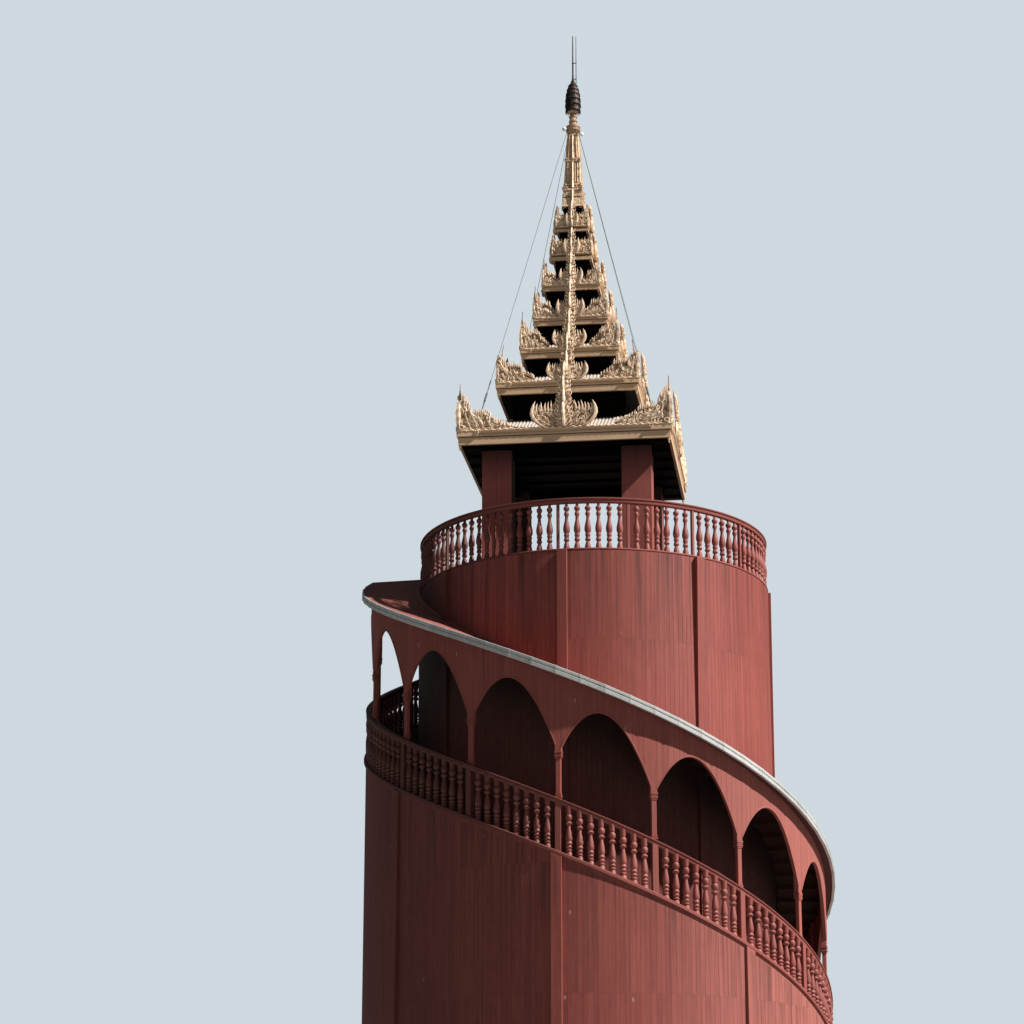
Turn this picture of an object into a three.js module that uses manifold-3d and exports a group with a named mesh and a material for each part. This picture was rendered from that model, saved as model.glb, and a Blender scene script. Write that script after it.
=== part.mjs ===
// Round timber watchtower with an outside spiral stair gallery and a seven-tier roof pavilion.
// Millimetres, +Z up, origin on the drum axis at ground level. The front faces -Y.
//
// Azimuth t is in degrees, from the front (-Y) towards -X, so it grows clockwise seen from above.
// The stair climbs with t: one bay is 22.5 degrees, and 22 bays lead from the ground to the platform.
import * as THREE from 'three';
import Module from 'manifold-3d';

const wasm = await Module();
wasm.setup();

// ---------- driving dimensions ----------
const RISER = 143.6;                 // one stair riser
const STEPS_PER_BAY = 5.5;
const BAYS = 22;                     // stair bays from ground to platform
const BAY = 22.5;                    // degrees
const STEPS = BAYS * STEPS_PER_BAY;  // 121 steps
const H = RISER * STEPS;             // platform floor above ground
const T0 = -306.4;                   // azimuth of the stair foot
const RISE_PER_DEG = H / (BAYS * BAY);
const FACET = 5.625;                 // facet width of the round walls, degrees
const SEAM = 0.005;                  // half gap between neighbouring pieces, degrees

const DRUM_R = 3680, DRUM_T = 180;   // drum wall: outer radius and thickness
const WALL_R = 4710, WALL_T = 180;   // outer wall
const KERB = 58;                     // outer wall top above the tread line
const ARC_RI = 4535, ARC_RO = 4645;  // arcade plate
const RAIL_RI = 4650, RAIL_RO = 4706;
const RAIL_TOP = 1145;               // handrail top above the tread line
const SPRING = 2150, ARCH_RISE = 1000; // arch springing above the tread line, and its rise
const COL_HALF = 0.8;                // half width of a column, degrees
const ROOF_UNDER = 3560, ROOF_T = 80; // roof slab above the tread line
const EAVE_R = 4850, GUTTER_T = 60, GUTTER_LO = 3520, GUTTER_HI = 3700;
const ROOF_END = 101.1;              // azimuth where the gallery roof stops
const STEP_RI = 3684, STEP_RO = 4519, STEP_BLOCK = 203.6;
const FLOOR_T = 100, FLOOR_R = 3675;
const PRAIL_RI = 3540, PRAIL_RO = 3600, PRAIL_TOP = 1087;
const BARS_GALLERY = 4, BARS_PLATFORM = 4; // square bars per bay, each standing for about two turned balusters

const PAV_X = -372, PAV_Y = 0, PAV_TURN = -5.5; // pavilion axis and turn
const PIER = 615, PIER_OUT = 1755;   // pier width, and pier face from the axis
// tiers: half width and height of the eave's lower edge above the platform, fascia height, half width of the
// storey above, slope of the skirt roof, length and height of the corner upstand (length 0 runs the whole face),
// height of the corner flame, half width and height of the centre fan, height and width of the centre pole
const TIERS = [
  { a: 2192, z: 2745, f: 315, b: 1200, k: 0.56, L: 1160, hc: 715, tip: 1050, wc: 690, hm: 565, hp: 1475, wp: 150 },
  { a: 1483, z: 4061, f: 275, b: 840, k: 0.6, L: 800, hc: 480, tip: 720, wc: 430, hm: 380, hp: 1085, wp: 130 },
  { a: 1031, z: 5008, f: 220, b: 630, k: 0.7, L: 570, hc: 430, tip: 640, wc: 340, hm: 370, hp: 890, wp: 120 },
  { a: 786, z: 5829, f: 185, b: 500, k: 1.1, L: 460, hc: 400, tip: 610, wc: 280, hm: 380, hp: 900, wp: 115 },
  { a: 612, z: 6685, f: 140, b: 360, k: 1, L: 0, hc: 300, tip: 510, wc: 220, hm: 370, hp: 760, wp: 100 },
  { a: 430, z: 7455, f: 125, b: 280, k: 1, L: 0, hc: 310, tip: 500, wc: 160, hm: 360, hp: 650, wp: 90 },
  { a: 349, z: 8155, f: 100, b: 200, k: 1, L: 0, hc: 275, tip: 540, wc: 120, hm: 320, hp: 640, wp: 80 },
];
const SPIRE_Z = 8762;                // underside of the spire's base
const RING_Z = 10660, RING_H = 120;  // collar that carries the stays
const STAY_FOOT = 1850, STAY_FOOT_Z = 3265, STAY_R = 7;
const TOP_Z = 12993;                 // rod tip above the platform

// ---------- helpers ----------
const rad = (d) => d * Math.PI / 180;
const treadLine = (t) => Math.min(Math.max((t - T0) * RISE_PER_DEG, 0), H);
const bayT = (k) => T0 + k * BAY;

const group = new THREE.Group();
group.name = 'watchtower';

const COLOURS = {
  red: [0x8a423c, 0.75, 0], deck: [0x5a332c, 0.8, 0], roof: [0x6b332c, 0.7, 0],
  gold: [0xc6a25a, 0.4, 0.8], dark: [0x2a2522, 0.7, 0.3], steel: [0x9a9a98, 0.5, 0.9],
};

function addMesh(name, geometry, colour, parent = group) {
  geometry.computeVertexNormals();
  const [color, roughness, metalness] = COLOURS[colour];
  const mesh = new THREE.Mesh(geometry, new THREE.MeshStandardMaterial({ color, roughness, metalness }));
  mesh.name = name;
  parent.add(mesh);
  return mesh;
}

// Indexed geometry from plain arrays, turned outwards if its volume comes out negative.
function solidFrom(pos, tri) {
  let v = 0;
  for (let i = 0; i < tri.length; i += 3) {
    const [a, b, c] = [tri[i] * 3, tri[i + 1] * 3, tri[i + 2] * 3];
    v += pos[a] * (pos[b + 1] * pos[c + 2] - pos[b + 2] * pos[c + 1])
      - pos[a + 1] * (pos[b] * pos[c + 2] - pos[b + 2] * pos[c])
      + pos[a + 2] * (pos[b] * pos[c + 1] - pos[b + 1] * pos[c]);
  }
  if (v < 0) for (let i = 0; i < tri.length; i += 3) [tri[i], tri[i + 1]] = [tri[i + 1], tri[i]];
  const g = new THREE.BufferGeometry();
  g.setAttribute('position', new THREE.Float32BufferAttribute(pos, 3));
  g.setIndex(tri);
  return g;
}

// Curved plate between two radii. stations are azimuths; cells(ta, tb) lists the filled bands
// between two stations as [low at ta, high at ta, low at tb, high at tb].
function plate(stations, cells, rIn, rOut) {
  const key = (z) => Math.round(z * 1000);
  const n = stations.length;
  const bands = [];
  for (let i = 0; i < n - 1; i++) bands.push(cells(stations[i], stations[i + 1]));
  const breaks = stations.map(() => new Map());
  bands.forEach((list, i) => list.forEach(([a0, a1, b0, b1]) => {
    breaks[i].set(key(a0), a0); breaks[i].set(key(a1), a1);
    breaks[i + 1].set(key(b0), b0); breaks[i + 1].set(key(b1), b1);
  }));
  const pos = [], ids = new Map();
  const vertex = (i, z) => {
    const k = i + ':' + key(z);
    if (!ids.has(k)) {
      const t = rad(stations[i]);
      ids.set(k, pos.length / 3);
      pos.push(-rOut * Math.sin(t), -rOut * Math.cos(t), z, -rIn * Math.sin(t), -rIn * Math.cos(t), z);
    }
    return ids.get(k);
  };
  const edge = (i, lo, hi) => [...breaks[i].entries()].filter(([k]) => k >= key(lo) && k <= key(hi))
    .sort((p, q) => p[0] - q[0]).map(([, z]) => z);
  const flat = [];
  bands.forEach((list, i) => list.forEach(([a0, a1, b0, b1]) => {
    const L = edge(i, a0, a1), R = edge(i + 1, b0, b1);
    let p = 0, q = 0;
    while (p < L.length - 1 || q < R.length - 1) {
      const u = p < L.length - 1 ? (L[p + 1] - a0) / (a1 - a0) : 2;
      const w = q < R.length - 1 ? (R[q + 1] - b0) / (b1 - b0) : 2;
      if (u <= w) { flat.push([vertex(i, L[p]), vertex(i + 1, R[q]), vertex(i, L[p + 1])]); p++; }
      else { flat.push([vertex(i, L[p]), vertex(i + 1, R[q]), vertex(i + 1, R[q + 1])]); q++; }
    }
  }));
  const tri = [], used = new Map();
  for (const [a, b, c] of flat) {
    tri.push(a, c, b, a + 1, b + 1, c + 1);
    for (const [p, q] of [[a, b], [b, c], [c, a]]) {
      const back = q + ':' + p;
      if (used.has(back)) used.delete(back); else used.set(p + ':' + q, [p, q]);
    }
  }
  for (const [p, q] of used.values()) tri.push(p, q, q + 1, p, q + 1, p + 1);
  return solidFrom(pos, tri);
}

// Sweep of a closed (r, z) outline along the stations; outline(t) gives the points at t.
function sweep(stations, outline) {
  const pos = [], tri = [];
  const m = outline(stations[0]).length;
  stations.forEach((t) => outline(t).forEach(([r, z]) => pos.push(-r * Math.sin(rad(t)), -r * Math.cos(rad(t)), z)));
  for (let i = 0; i < stations.length - 1; i++) for (let j = 0; j < m; j++) {
    const a = i * m + j, b = i * m + (j + 1) % m, c = a + m, d = b + m;
    tri.push(a, c, b, b, c, d);
  }
  const faces = THREE.ShapeUtils.triangulateShape(outline(stations[0]).map(([r, z]) => new THREE.Vector2(r, z)), []);
  const ccw = THREE.ShapeUtils.area(outline(stations[0]).map(([r, z]) => new THREE.Vector2(r, z))) > 0;
  const last = (stations.length - 1) * m;
  for (const f of faces) {
    const [p, q, s] = orient(f, outline(stations[0]), ccw);
    tri.push(p, q, s, last + p, last + s, last + q);
  }
  return solidFrom(pos, tri);
}
function orient([p, q, s], pts, ccw) {
  const cross = (pts[q][0] - pts[p][0]) * (pts[s][1] - pts[p][1]) - (pts[q][1] - pts[p][1]) * (pts[s][0] - pts[p][0]);
  return (cross > 0) === ccw ? [p, q, s] : [p, s, q];
}

const steps = (a, b, d) => {
  const n = Math.max(1, Math.round((b - a) / d));
  return Array.from({ length: n + 1 }, (_, i) => a + (b - a) * i / n);
};
const mergeStations = (...lists) => [...new Set(lists.flat().map((v) => Math.round(v * 1e4) / 1e4))].sort((a, b) => a - b);

// three.js geometry to a boolean solid and back.
function toSolid(geometry) {
  const g = geometry.index ? geometry : indexed(geometry);
  return new wasm.Manifold(new wasm.Mesh({
    numProp: 3, vertProperties: new Float32Array(g.attributes.position.array), triVerts: new Uint32Array(g.index.array),
  }));
}
function indexed(geometry) {
  const p = geometry.attributes.position, index = geometry.index ? geometry.index.array : null;
  const ids = new Map(), pos = [], tri = [];
  const count = index ? index.length : p.count;
  for (let i = 0; i < count; i++) {
    const j = index ? index[i] : i;
    const k = [p.getX(j), p.getY(j), p.getZ(j)].map((v) => Math.round(v * 1000)).join();
    if (!ids.has(k)) { ids.set(k, pos.length / 3); pos.push(p.getX(j), p.getY(j), p.getZ(j)); }
    tri.push(ids.get(k));
  }
  const out = [];
  for (let i = 0; i < tri.length; i += 3) {
    if (tri[i] !== tri[i + 1] && tri[i + 1] !== tri[i + 2] && tri[i] !== tri[i + 2]) out.push(tri[i], tri[i + 1], tri[i + 2]);
  }
  return solidFrom(pos, out);
}
function fromSolid(solid) {
  const m = solid.getMesh();
  const pos = [], tri = [...m.triVerts];
  for (let i = 0; i < m.vertProperties.length; i += m.numProp) pos.push(m.vertProperties[i], m.vertProperties[i + 1], m.vertProperties[i + 2]);
  return solidFrom(pos, tri);
}
const joined = (list) => fromSolid(list.map(toSolid).reduce((a, b) => a.add(b)));

// Upright block standing at azimuth t and radius r, w wide along the wall and d deep.
function post(t, r, w, d, z0, z1) {
  const g = new THREE.BoxGeometry(w, d, z1 - z0);
  g.translate(0, -r, (z0 + z1) / 2);
  g.rotateZ(-rad(t));
  return indexed(g);
}

// ---------- drum ----------
for (let k = 0; k < 4; k++) {
  const a = T0 + 90 * k + SEAM, b = T0 + 90 * (k + 1) - SEAM;
  addMesh(`drum_wall_${k + 1}`, plate(steps(a, b, FACET), () => [[0, H - FLOOR_T - 0.3, 0, H - FLOOR_T - 0.3]], DRUM_R - DRUM_T, DRUM_R), 'red');
}
{
  const g = new THREE.CylinderGeometry(FLOOR_R, FLOOR_R, FLOOR_T, 64);
  g.rotateX(Math.PI / 2); g.translate(0, 0, H - FLOOR_T / 2);
  g.rotateZ(-rad(T0));
  addMesh('platform_floor', indexed(g), 'deck');
}

// ---------- outer wall ----------
const PIL_W = 2.8, PIL_OUT = 50;     // pilaster width in degrees, and how far it stands out
function wallNode(name, bay0, bay1, lowAt, door) {
  const a = bayT(bay0) + SEAM, b = bayT(bay1) - SEAM;
  const extra = door ? [door.a, door.b, ...steps(door.a, door.b, (door.b - door.a) / 8)] : [];
  const topAt = (t) => treadLine(t) + KERB;
  const st = mergeStations(steps(a, b, FACET), extra, bay0 < BAYS && bay1 > BAYS ? [bayT(BAYS)] : []);
  const inside = (t) => door && t > door.a && t < door.b;
  const arch = (t) => door.spring + door.rise * (1 - ((2 * t - door.a - door.b) / (door.b - door.a)) ** 2);
  const wall = plate(st, (p, q) => inside((p + q) / 2)
    ? [[arch(p), topAt(p), arch(q), topAt(q)]]
    : [[lowAt(p), topAt(p), lowAt(q), topAt(q)]], WALL_R - WALL_T, WALL_R);
  const parts = [wall];
  for (let k = bay0 + 2; k <= bay1; k += 2) {
    const p1 = bayT(k) - 4 * SEAM, p0 = p1 - PIL_W;
    parts.push(plate([p0, (p0 + p1) / 2, p1], (p, q) => [[lowAt(p), topAt(p) - 0.5, lowAt(q), topAt(q) - 0.5]], WALL_R - 30, WALL_R + PIL_OUT));
  }
  addMesh(name, joined(parts), 'red');
}
const DOOR = { a: bayT(15) + 3, b: bayT(16) - 4.5, spring: 2100, rise: 900 };
for (let k = 0; k < 4; k++) wallNode(`outer_wall_${k + 1}`, 4 * k, 4 * k + 4, () => 0, k === 3 ? DOOR : null);
const aboveRoof = (t) => treadLine(t - 360) + ROOF_UNDER + ROOF_T + 0.6;
wallNode('upper_wall_1', 16, 20, aboveRoof, null);
wallNode('upper_wall_2', 20, 23, aboveRoof, null);

// ---------- stair ----------
const STEP_DEG = BAY / STEPS_PER_BAY;
for (let k = 0; k < 6; k++) {
  const n0 = 22 * k, n1 = Math.min(22 * k + 22, STEPS);
  const st = [];
  for (let i = n0; i <= n1; i++) st.push(T0 + i * STEP_DEG + (i === n0 ? SEAM : 0) - (i === n1 ? SEAM : 0));
  addMesh(`stair_flight_${k + 1}`, plate(st, (p, q) => {
    const i = Math.floor(((p + q) / 2 - T0) / STEP_DEG);
    const top = (i + 1) * RISER, low = Math.max(0, top - STEP_BLOCK);
    return [[low, top, low, top]];
  }, STEP_RI, STEP_RO), 'deck');
}
addMesh('top_landing', plate(steps(bayT(22) + SEAM, bayT(23) - SEAM, FACET), () => [[H - STEP_BLOCK, H, H - STEP_BLOCK, H]], STEP_RI, STEP_RO), 'deck');
{
  // radial wall that closes the space under the landing, down to the roof of the pass below
  const t1 = bayT(23) - SEAM, t0 = t1 - 2, low = (t) => aboveRoof(t);
  addMesh('landing_end_wall', plate([t0, t1], (p, q) => [[low(p), H - STEP_BLOCK - 0.5, low(q), H - STEP_BLOCK - 0.5]], STEP_RI, STEP_RO), 'red');
}

// ---------- balustrades ----------
function balustrade(t0, t1, bay0, count, rIn, rOut, base, railTop, endPosts) {
  const rm = (rIn + rOut) / 2, inset = 64 / rm * 180 / Math.PI;
  const low = (t) => base(t), high = (t) => base(t) + railTop;
  const st = mergeStations(steps(t0, t1, FACET), t0 < bayT(BAYS) && t1 > bayT(BAYS) ? [bayT(BAYS)] : []);
  const body = [plate(st, (p, q) => [[low(p), low(p) + 90, low(q), low(q) + 90], [high(p) - 70, high(p), high(q) - 70, high(q)]], rIn, rOut)];
  const bays = Math.round((t1 - t0) / BAY);
  // rails come out as two bodies; the posts join them
  for (let k = 0; k < bays; k++) {
    const s = t0 + k * (t1 - t0) / bays, d = (t1 - t0) / bays;
    for (let j = 1; j <= count; j++) {
      const t = s + d * j / (count + 1);
      body.push(post(t, rm, 90, rOut - rIn - 12, low(t) + 50, high(t) - 36));
    }
    if (k > 0 || endPosts) {
      const t = k > 0 ? s : s + inset;
      body.push(post(t, rm, 120, rOut - rIn - 6, low(t) + 30, high(t) - 34));
    }
  }
  if (endPosts) body.push(post(t1 - inset, rm, 120, rOut - rIn - 6, low(t1 - inset) + 30, high(t1 - inset) - 34));
  return joined(body);
}
for (let k = 0; k < 6; k++) {
  const b0 = 4 * k, b1 = Math.min(b0 + 4, 23);
  addMesh(`gallery_balustrade_${k + 1}`, balustrade(bayT(b0) + SEAM, bayT(b1) - SEAM, b0, BARS_GALLERY, RAIL_RI, RAIL_RO,
    (t) => treadLine(t) + KERB + 0.6, RAIL_TOP - KERB, true), 'red');
}
for (let k = 0; k < 4; k++) {
  const b0 = 23 + 4 * k, b1 = Math.min(b0 + 4, 38);
  addMesh(`platform_balustrade_${k + 1}`, balustrade(bayT(b0) + SEAM, bayT(b1) - SEAM, b0, BARS_PLATFORM, PRAIL_RI, PRAIL_RO,
    () => H + 0.3, PRAIL_TOP, true), 'red');
}
{
  // short straight balustrade across the end of the landing
  const t = bayT(23), z = H + 0.3, r0 = 3700, r1 = 4515, parts = [];
  const bar = (ra, rb, w, z0, z1) => {
    const g = new THREE.BoxGeometry(w, rb - ra, z1 - z0);
    g.translate(60, -(ra + rb) / 2, (z0 + z1) / 2); g.rotateZ(-rad(t)); return indexed(g);
  };
  parts.push(bar(r0, r1, 56, z, z + 90), bar(r0, r1, 56, z + PRAIL_TOP - 70, z + PRAIL_TOP));
  for (let j = 0; j <= 4; j++) { const r = r0 + 40 + (r1 - r0 - 80) * j / 4; parts.push(bar(r - 30, r + 30, 44, z + 50, z + PRAIL_TOP - 35)); }
  addMesh('landing_end_balustrade', joined(parts), 'red');
}

// ---------- gallery arcade ----------
function arcade(name, bay0, bay1, closing) {
  const a = bayT(bay0) - COL_HALF - 0.1 + SEAM, b = closing ? bayT(bay1) + COL_HALF : bayT(bay1) - COL_HALF - 0.1 - SEAM;
  const a0 = bay0 === 0 ? bayT(0) + SEAM : a;
  const top = (t) => treadLine(t) + ROOF_UNDER - 0.6, foot = (t) => treadLine(t) + KERB + 0.6;
  const opens = [];
  for (let k = bay0; k < bay1; k++) opens.push([Math.max(bayT(k) + COL_HALF + (k === 0 ? 0.8 : 0), a0), bayT(k + 1) - COL_HALF]);
  const arch = (t, o) => treadLine(t) + SPRING + ARCH_RISE * (1 - ((2 * t - o[0] - o[1]) / (o[1] - o[0])) ** 2);
  const st = mergeStations([a0, b], ...opens.map((o) => steps(o[0], Math.min(o[1], b), (o[1] - o[0]) / 9)));
  return addMesh(name, plate(st, (p, q) => {
    const m = (p + q) / 2, o = opens.find((v) => m > v[0] && m < v[1]);
    return o ? [[arch(p, o), top(p), arch(q, o), top(q)]] : [[m > bayT(bay1) - COL_HALF - 0.11 && !closing ? treadLine(p) + SPRING : foot(p), top(p), m > bayT(bay1) - COL_HALF - 0.11 && !closing ? treadLine(q) + SPRING : foot(q), top(q)]];
  }, ARC_RI, ARC_RO), 'red');
}
for (let k = 0; k < 5; k++) arcade(`gallery_arcade_${k + 1}`, 4 * k, Math.min(4 * k + 4, 18), k === 4);

// ---------- gallery roof ----------
for (let k = 0; k < 5; k++) {
  const a = bayT(4 * k) + SEAM, b = k === 4 ? ROOF_END : bayT(4 * k + 4) - SEAM;
  addMesh(`gallery_roof_${k + 1}`, sweep(steps(a, b, FACET), (t) => {
    const z = treadLine(t);
    return [[DRUM_R + 4, z + ROOF_UNDER], [EAVE_R - GUTTER_T, z + ROOF_UNDER], [EAVE_R - GUTTER_T, z + GUTTER_LO], [EAVE_R, z + GUTTER_LO],
      [EAVE_R, z + GUTTER_HI], [EAVE_R - GUTTER_T, z + GUTTER_HI], [EAVE_R - GUTTER_T, z + ROOF_UNDER + ROOF_T], [DRUM_R + 4, z + ROOF_UNDER + ROOF_T]];
  }), 'roof');
}

// ---------- entrance bay ----------
{
  const a = bayT(-1), b = bayT(0);
  addMesh('entrance_ceiling', plate(steps(a + SEAM, b - SEAM, FACET), () => [[ROOF_UNDER, ROOF_UNDER + ROOF_T, ROOF_UNDER, ROOF_UNDER + ROOF_T]], STEP_RI, STEP_RO), 'red');
  addMesh('entrance_end_wall', plate([a, a + 2], () => [[0, ROOF_UNDER - 0.5, 0, ROOF_UNDER - 0.5]], STEP_RI, STEP_RO), 'red');
}

// ---------- pavilion ----------
const pavilion = new THREE.Group();
pavilion.position.set(PAV_X, PAV_Y, H);
pavilion.rotation.z = rad(PAV_TURN);
group.add(pavilion);
[['front_left', -1, -1], ['front_right', 1, -1], ['back_right', 1, 1], ['back_left', -1, 1]].forEach(([n, sx, sy]) => {
  const g = new THREE.BoxGeometry(PIER, PIER, TIERS[0].z - 0.8);
  g.translate(sx * (PIER_OUT - PIER / 2), sy * (PIER_OUT - PIER / 2), (TIERS[0].z) / 2);
  addMesh(`pavilion_pier_${n}`, indexed(g), 'red', pavilion);
});

// square body of revolution: half widths against height
function squareLathe(points) {
  const s = Math.SQRT2;
  const g = new THREE.LatheGeometry(points.map(([a, z]) => new THREE.Vector2(a * s, z)), 4, Math.PI / 4);
  g.rotateX(Math.PI / 2);
  return indexed(g);
}
// carved upstand along one eave: tall at both corners, with a fan in the middle
const UPSTAND = [[0, 0.8], [0.02, 0.95], [0.07, 1], [0.125, 0.88], [0.22, 0.66], [0.285, 0.48], [0.55, 0.46], [0.6, 0.34], [0.75, 0.24], [0.88, 0.16], [1, 0.03]];
const FAN = [[0.43, 0], [0.95, 0.5], [1, 0.7], [0.9, 1], [0.8, 0.68], [0.42, 0.68], [0.24, 1.12], [0.16, 1.4]];
function crest(tier, zBase) {
  const { a, hc, wc, hm, L } = tier;
  const run = L || 0.85 * (a - 0.4 * wc);
  let half = UPSTAND.map(([s, h]) => [a - s * run, (L ? h : 0.85 + 0.15 * h) * hc]);
  let fan = FAN.map(([x, h]) => [x * wc, h * hm]);
  if (!L) { half = half.filter(([x]) => x > wc * 0.5); fan = fan.slice(6); }
  const pts = [[a, -30], ...half, ...fan];
  const all = [...pts, ...pts.slice().reverse().map(([x, z]) => [-x, z])];
  const g = new THREE.ExtrudeGeometry(new THREE.Shape(all.map(([x, z]) => new THREE.Vector2(x, z))), { depth: 45, bevelEnabled: false });
  g.rotateX(Math.PI / 2);
  g.translate(0, -a + 45, zBase);
  return g;
}
// four-sided tapered upright between two points: wide across x, with its edges on the axes
function needle(x0, y0, z0, x1, y1, z1, w0, w1, turn = 0) {
  const pos = [], c = Math.cos(turn), s = Math.sin(turn);
  for (const [x, y, z, w] of [[x0, y0, z0, w0], [x1, y1, z1, w1]]) {
    for (const [u, v] of [[-1, 0], [0, -1], [1, 0], [0, 1]]) pos.push(x + (u * c - v * s) * w / 2, y + (u * s + v * c) * w / 2, z);
  }
  return solidFrom(pos, [0, 1, 5, 0, 5, 4, 1, 2, 6, 1, 6, 5, 2, 3, 7, 2, 7, 6, 3, 0, 4, 3, 4, 7, 0, 2, 1, 0, 3, 2, 4, 5, 6, 4, 6, 7]);
}
TIERS.forEach((tier, i) => {
  const next = i < TIERS.length - 1 ? TIERS[i + 1].z : SPIRE_Z;
  const z1 = tier.z + tier.f, skirt = z1 + (tier.a - 60 - tier.b) * tier.k;
  const body = squareLathe([[0, tier.z], [tier.a - 20, tier.z], [tier.a, tier.z + 20], [tier.a, z1], [tier.a - 60, z1], [tier.b, skirt], [tier.b, next - 0.6], [0, next - 0.6]]);
  const parts = [body];
  for (let q = 0; q < 4; q++) {
    const turn = (g) => { g.rotateZ(q * Math.PI / 2); parts.push(indexed(g)); };
    turn(crest(tier, z1));
    turn(needle(0, -tier.a - 15, z1 - 25, 0, -tier.a + 30, z1 + tier.hp, tier.wp, 16));
    // corner flame; the second tier's leans inwards, clear of the stay
    const e = tier.a - 35, lean = i === 1 ? 105 : 0;
    turn(needle(e, -e, z1 - 25, e - lean, -e + lean, z1 + tier.tip, 0.12 * tier.tip, 12, Math.PI / 4));
  }
  addMesh(`roof_tier_${i + 1}`, joined(parts), 'gold', pavilion);
});

// spire: square taper with bands
addMesh('spire', squareLathe([[0, SPIRE_Z], [190, SPIRE_Z], [238, 8785], [240, 8802], [206, 9005], [206, 9170], [214, 9195], [212, 9225], [176, 9245], [176, 9310],
  [158, 9380], [150, 9895], [164, 9905], [160, 9950], [145, 9980], [108, 10530], [116, 10560], [98, RING_Z - 0.6], [0, RING_Z - 0.6]]), 'gold', pavilion);

// finial: neck, closed umbrella form, and rod
function lathe(points, n) {
  const g = new THREE.LatheGeometry(points.map(([r, z]) => new THREE.Vector2(r, z)), n);
  g.rotateX(Math.PI / 2);
  return indexed(g);
}
addMesh('finial', lathe([[0, RING_Z], [105, RING_Z], [95, 10790], [110, 10850], [85, 11030], [168, 11045], [175, 11190], [150, 11420], [110, 11640],
  [70, 11840], [26, 11868], [18, 12300], [9, TOP_Z], [0, TOP_Z]], 12), 'dark', pavilion);

// collar ring with its four stays, down to the hips of the lowest roof
{
  const ring = lathe([[118, RING_Z + 4], [160, RING_Z + 4], [160, RING_Z + RING_H], [118, RING_Z + RING_H], [118, RING_Z + 4]], 12);
  const parts = [ring];
  for (let q = 0; q < 4; q++) {
    const c = Math.cos(Math.PI / 4 + q * Math.PI / 2), s = Math.sin(Math.PI / 4 + q * Math.PI / 2);
    const p0 = new THREE.Vector3(146 * c, 146 * s, RING_Z + 60), p1 = new THREE.Vector3(STAY_FOOT * Math.SQRT2 * c, STAY_FOOT * Math.SQRT2 * s, STAY_FOOT_Z);
    const d = p1.clone().sub(p0), g = new THREE.CylinderGeometry(STAY_R, STAY_R, d.length(), 6);
    g.applyQuaternion(new THREE.Quaternion().setFromUnitVectors(new THREE.Vector3(0, 1, 0), d.clone().normalize()));
    g.translate((p0.x + p1.x) / 2, (p0.y + p1.y) / 2, (p0.z + p1.z) / 2);
    parts.push(indexed(g));
    const foot = new THREE.BoxGeometry(60, 60, 40); foot.rotateZ(Math.PI / 4); foot.translate(p1.x, p1.y, p1.z);
    parts.push(indexed(foot));
  }
  addMesh('stay_cables', joined(parts), 'steel', pavilion);
}

export default group;
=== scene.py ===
import math
import random

import bmesh
import bpy
import numpy as np
from mathutils import Matrix, Vector


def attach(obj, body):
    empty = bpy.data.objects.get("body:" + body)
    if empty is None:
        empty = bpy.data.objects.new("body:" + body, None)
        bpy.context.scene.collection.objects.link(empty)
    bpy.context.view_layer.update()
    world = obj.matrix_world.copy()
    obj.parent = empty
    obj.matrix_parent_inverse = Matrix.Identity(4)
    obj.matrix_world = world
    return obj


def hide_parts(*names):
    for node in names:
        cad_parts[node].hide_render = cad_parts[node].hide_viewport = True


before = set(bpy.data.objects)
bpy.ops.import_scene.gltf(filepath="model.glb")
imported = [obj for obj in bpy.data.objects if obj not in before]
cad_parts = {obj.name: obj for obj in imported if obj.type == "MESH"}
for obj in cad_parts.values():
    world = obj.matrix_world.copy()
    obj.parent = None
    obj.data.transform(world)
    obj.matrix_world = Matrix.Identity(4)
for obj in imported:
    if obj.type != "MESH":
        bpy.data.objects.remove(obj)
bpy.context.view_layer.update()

# ---------------------------------------------------------------- sizes, in metres
H = 17.3756                 # platform floor above ground
T0 = -306.4                 # azimuth of the stair foot, degrees from the front towards -X
RPD = H / 495.0             # rise per degree
BAY = 22.5
DRUM_R, DRUM_T = 3.646, 0.146
WALL_R, WALL_T = 4.710, 0.180
KERB = 0.058
ROOF_END = 101.1


def bay(k):
    return T0 + k * BAY


def zf(t):
    """Tread line of the stair at azimuth t."""
    return min(max((t - T0) * RPD, 0.0), H)


def pol(r, t, z):
    a = math.radians(t)
    return (-r * math.sin(a), -r * math.cos(a), z)


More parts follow.
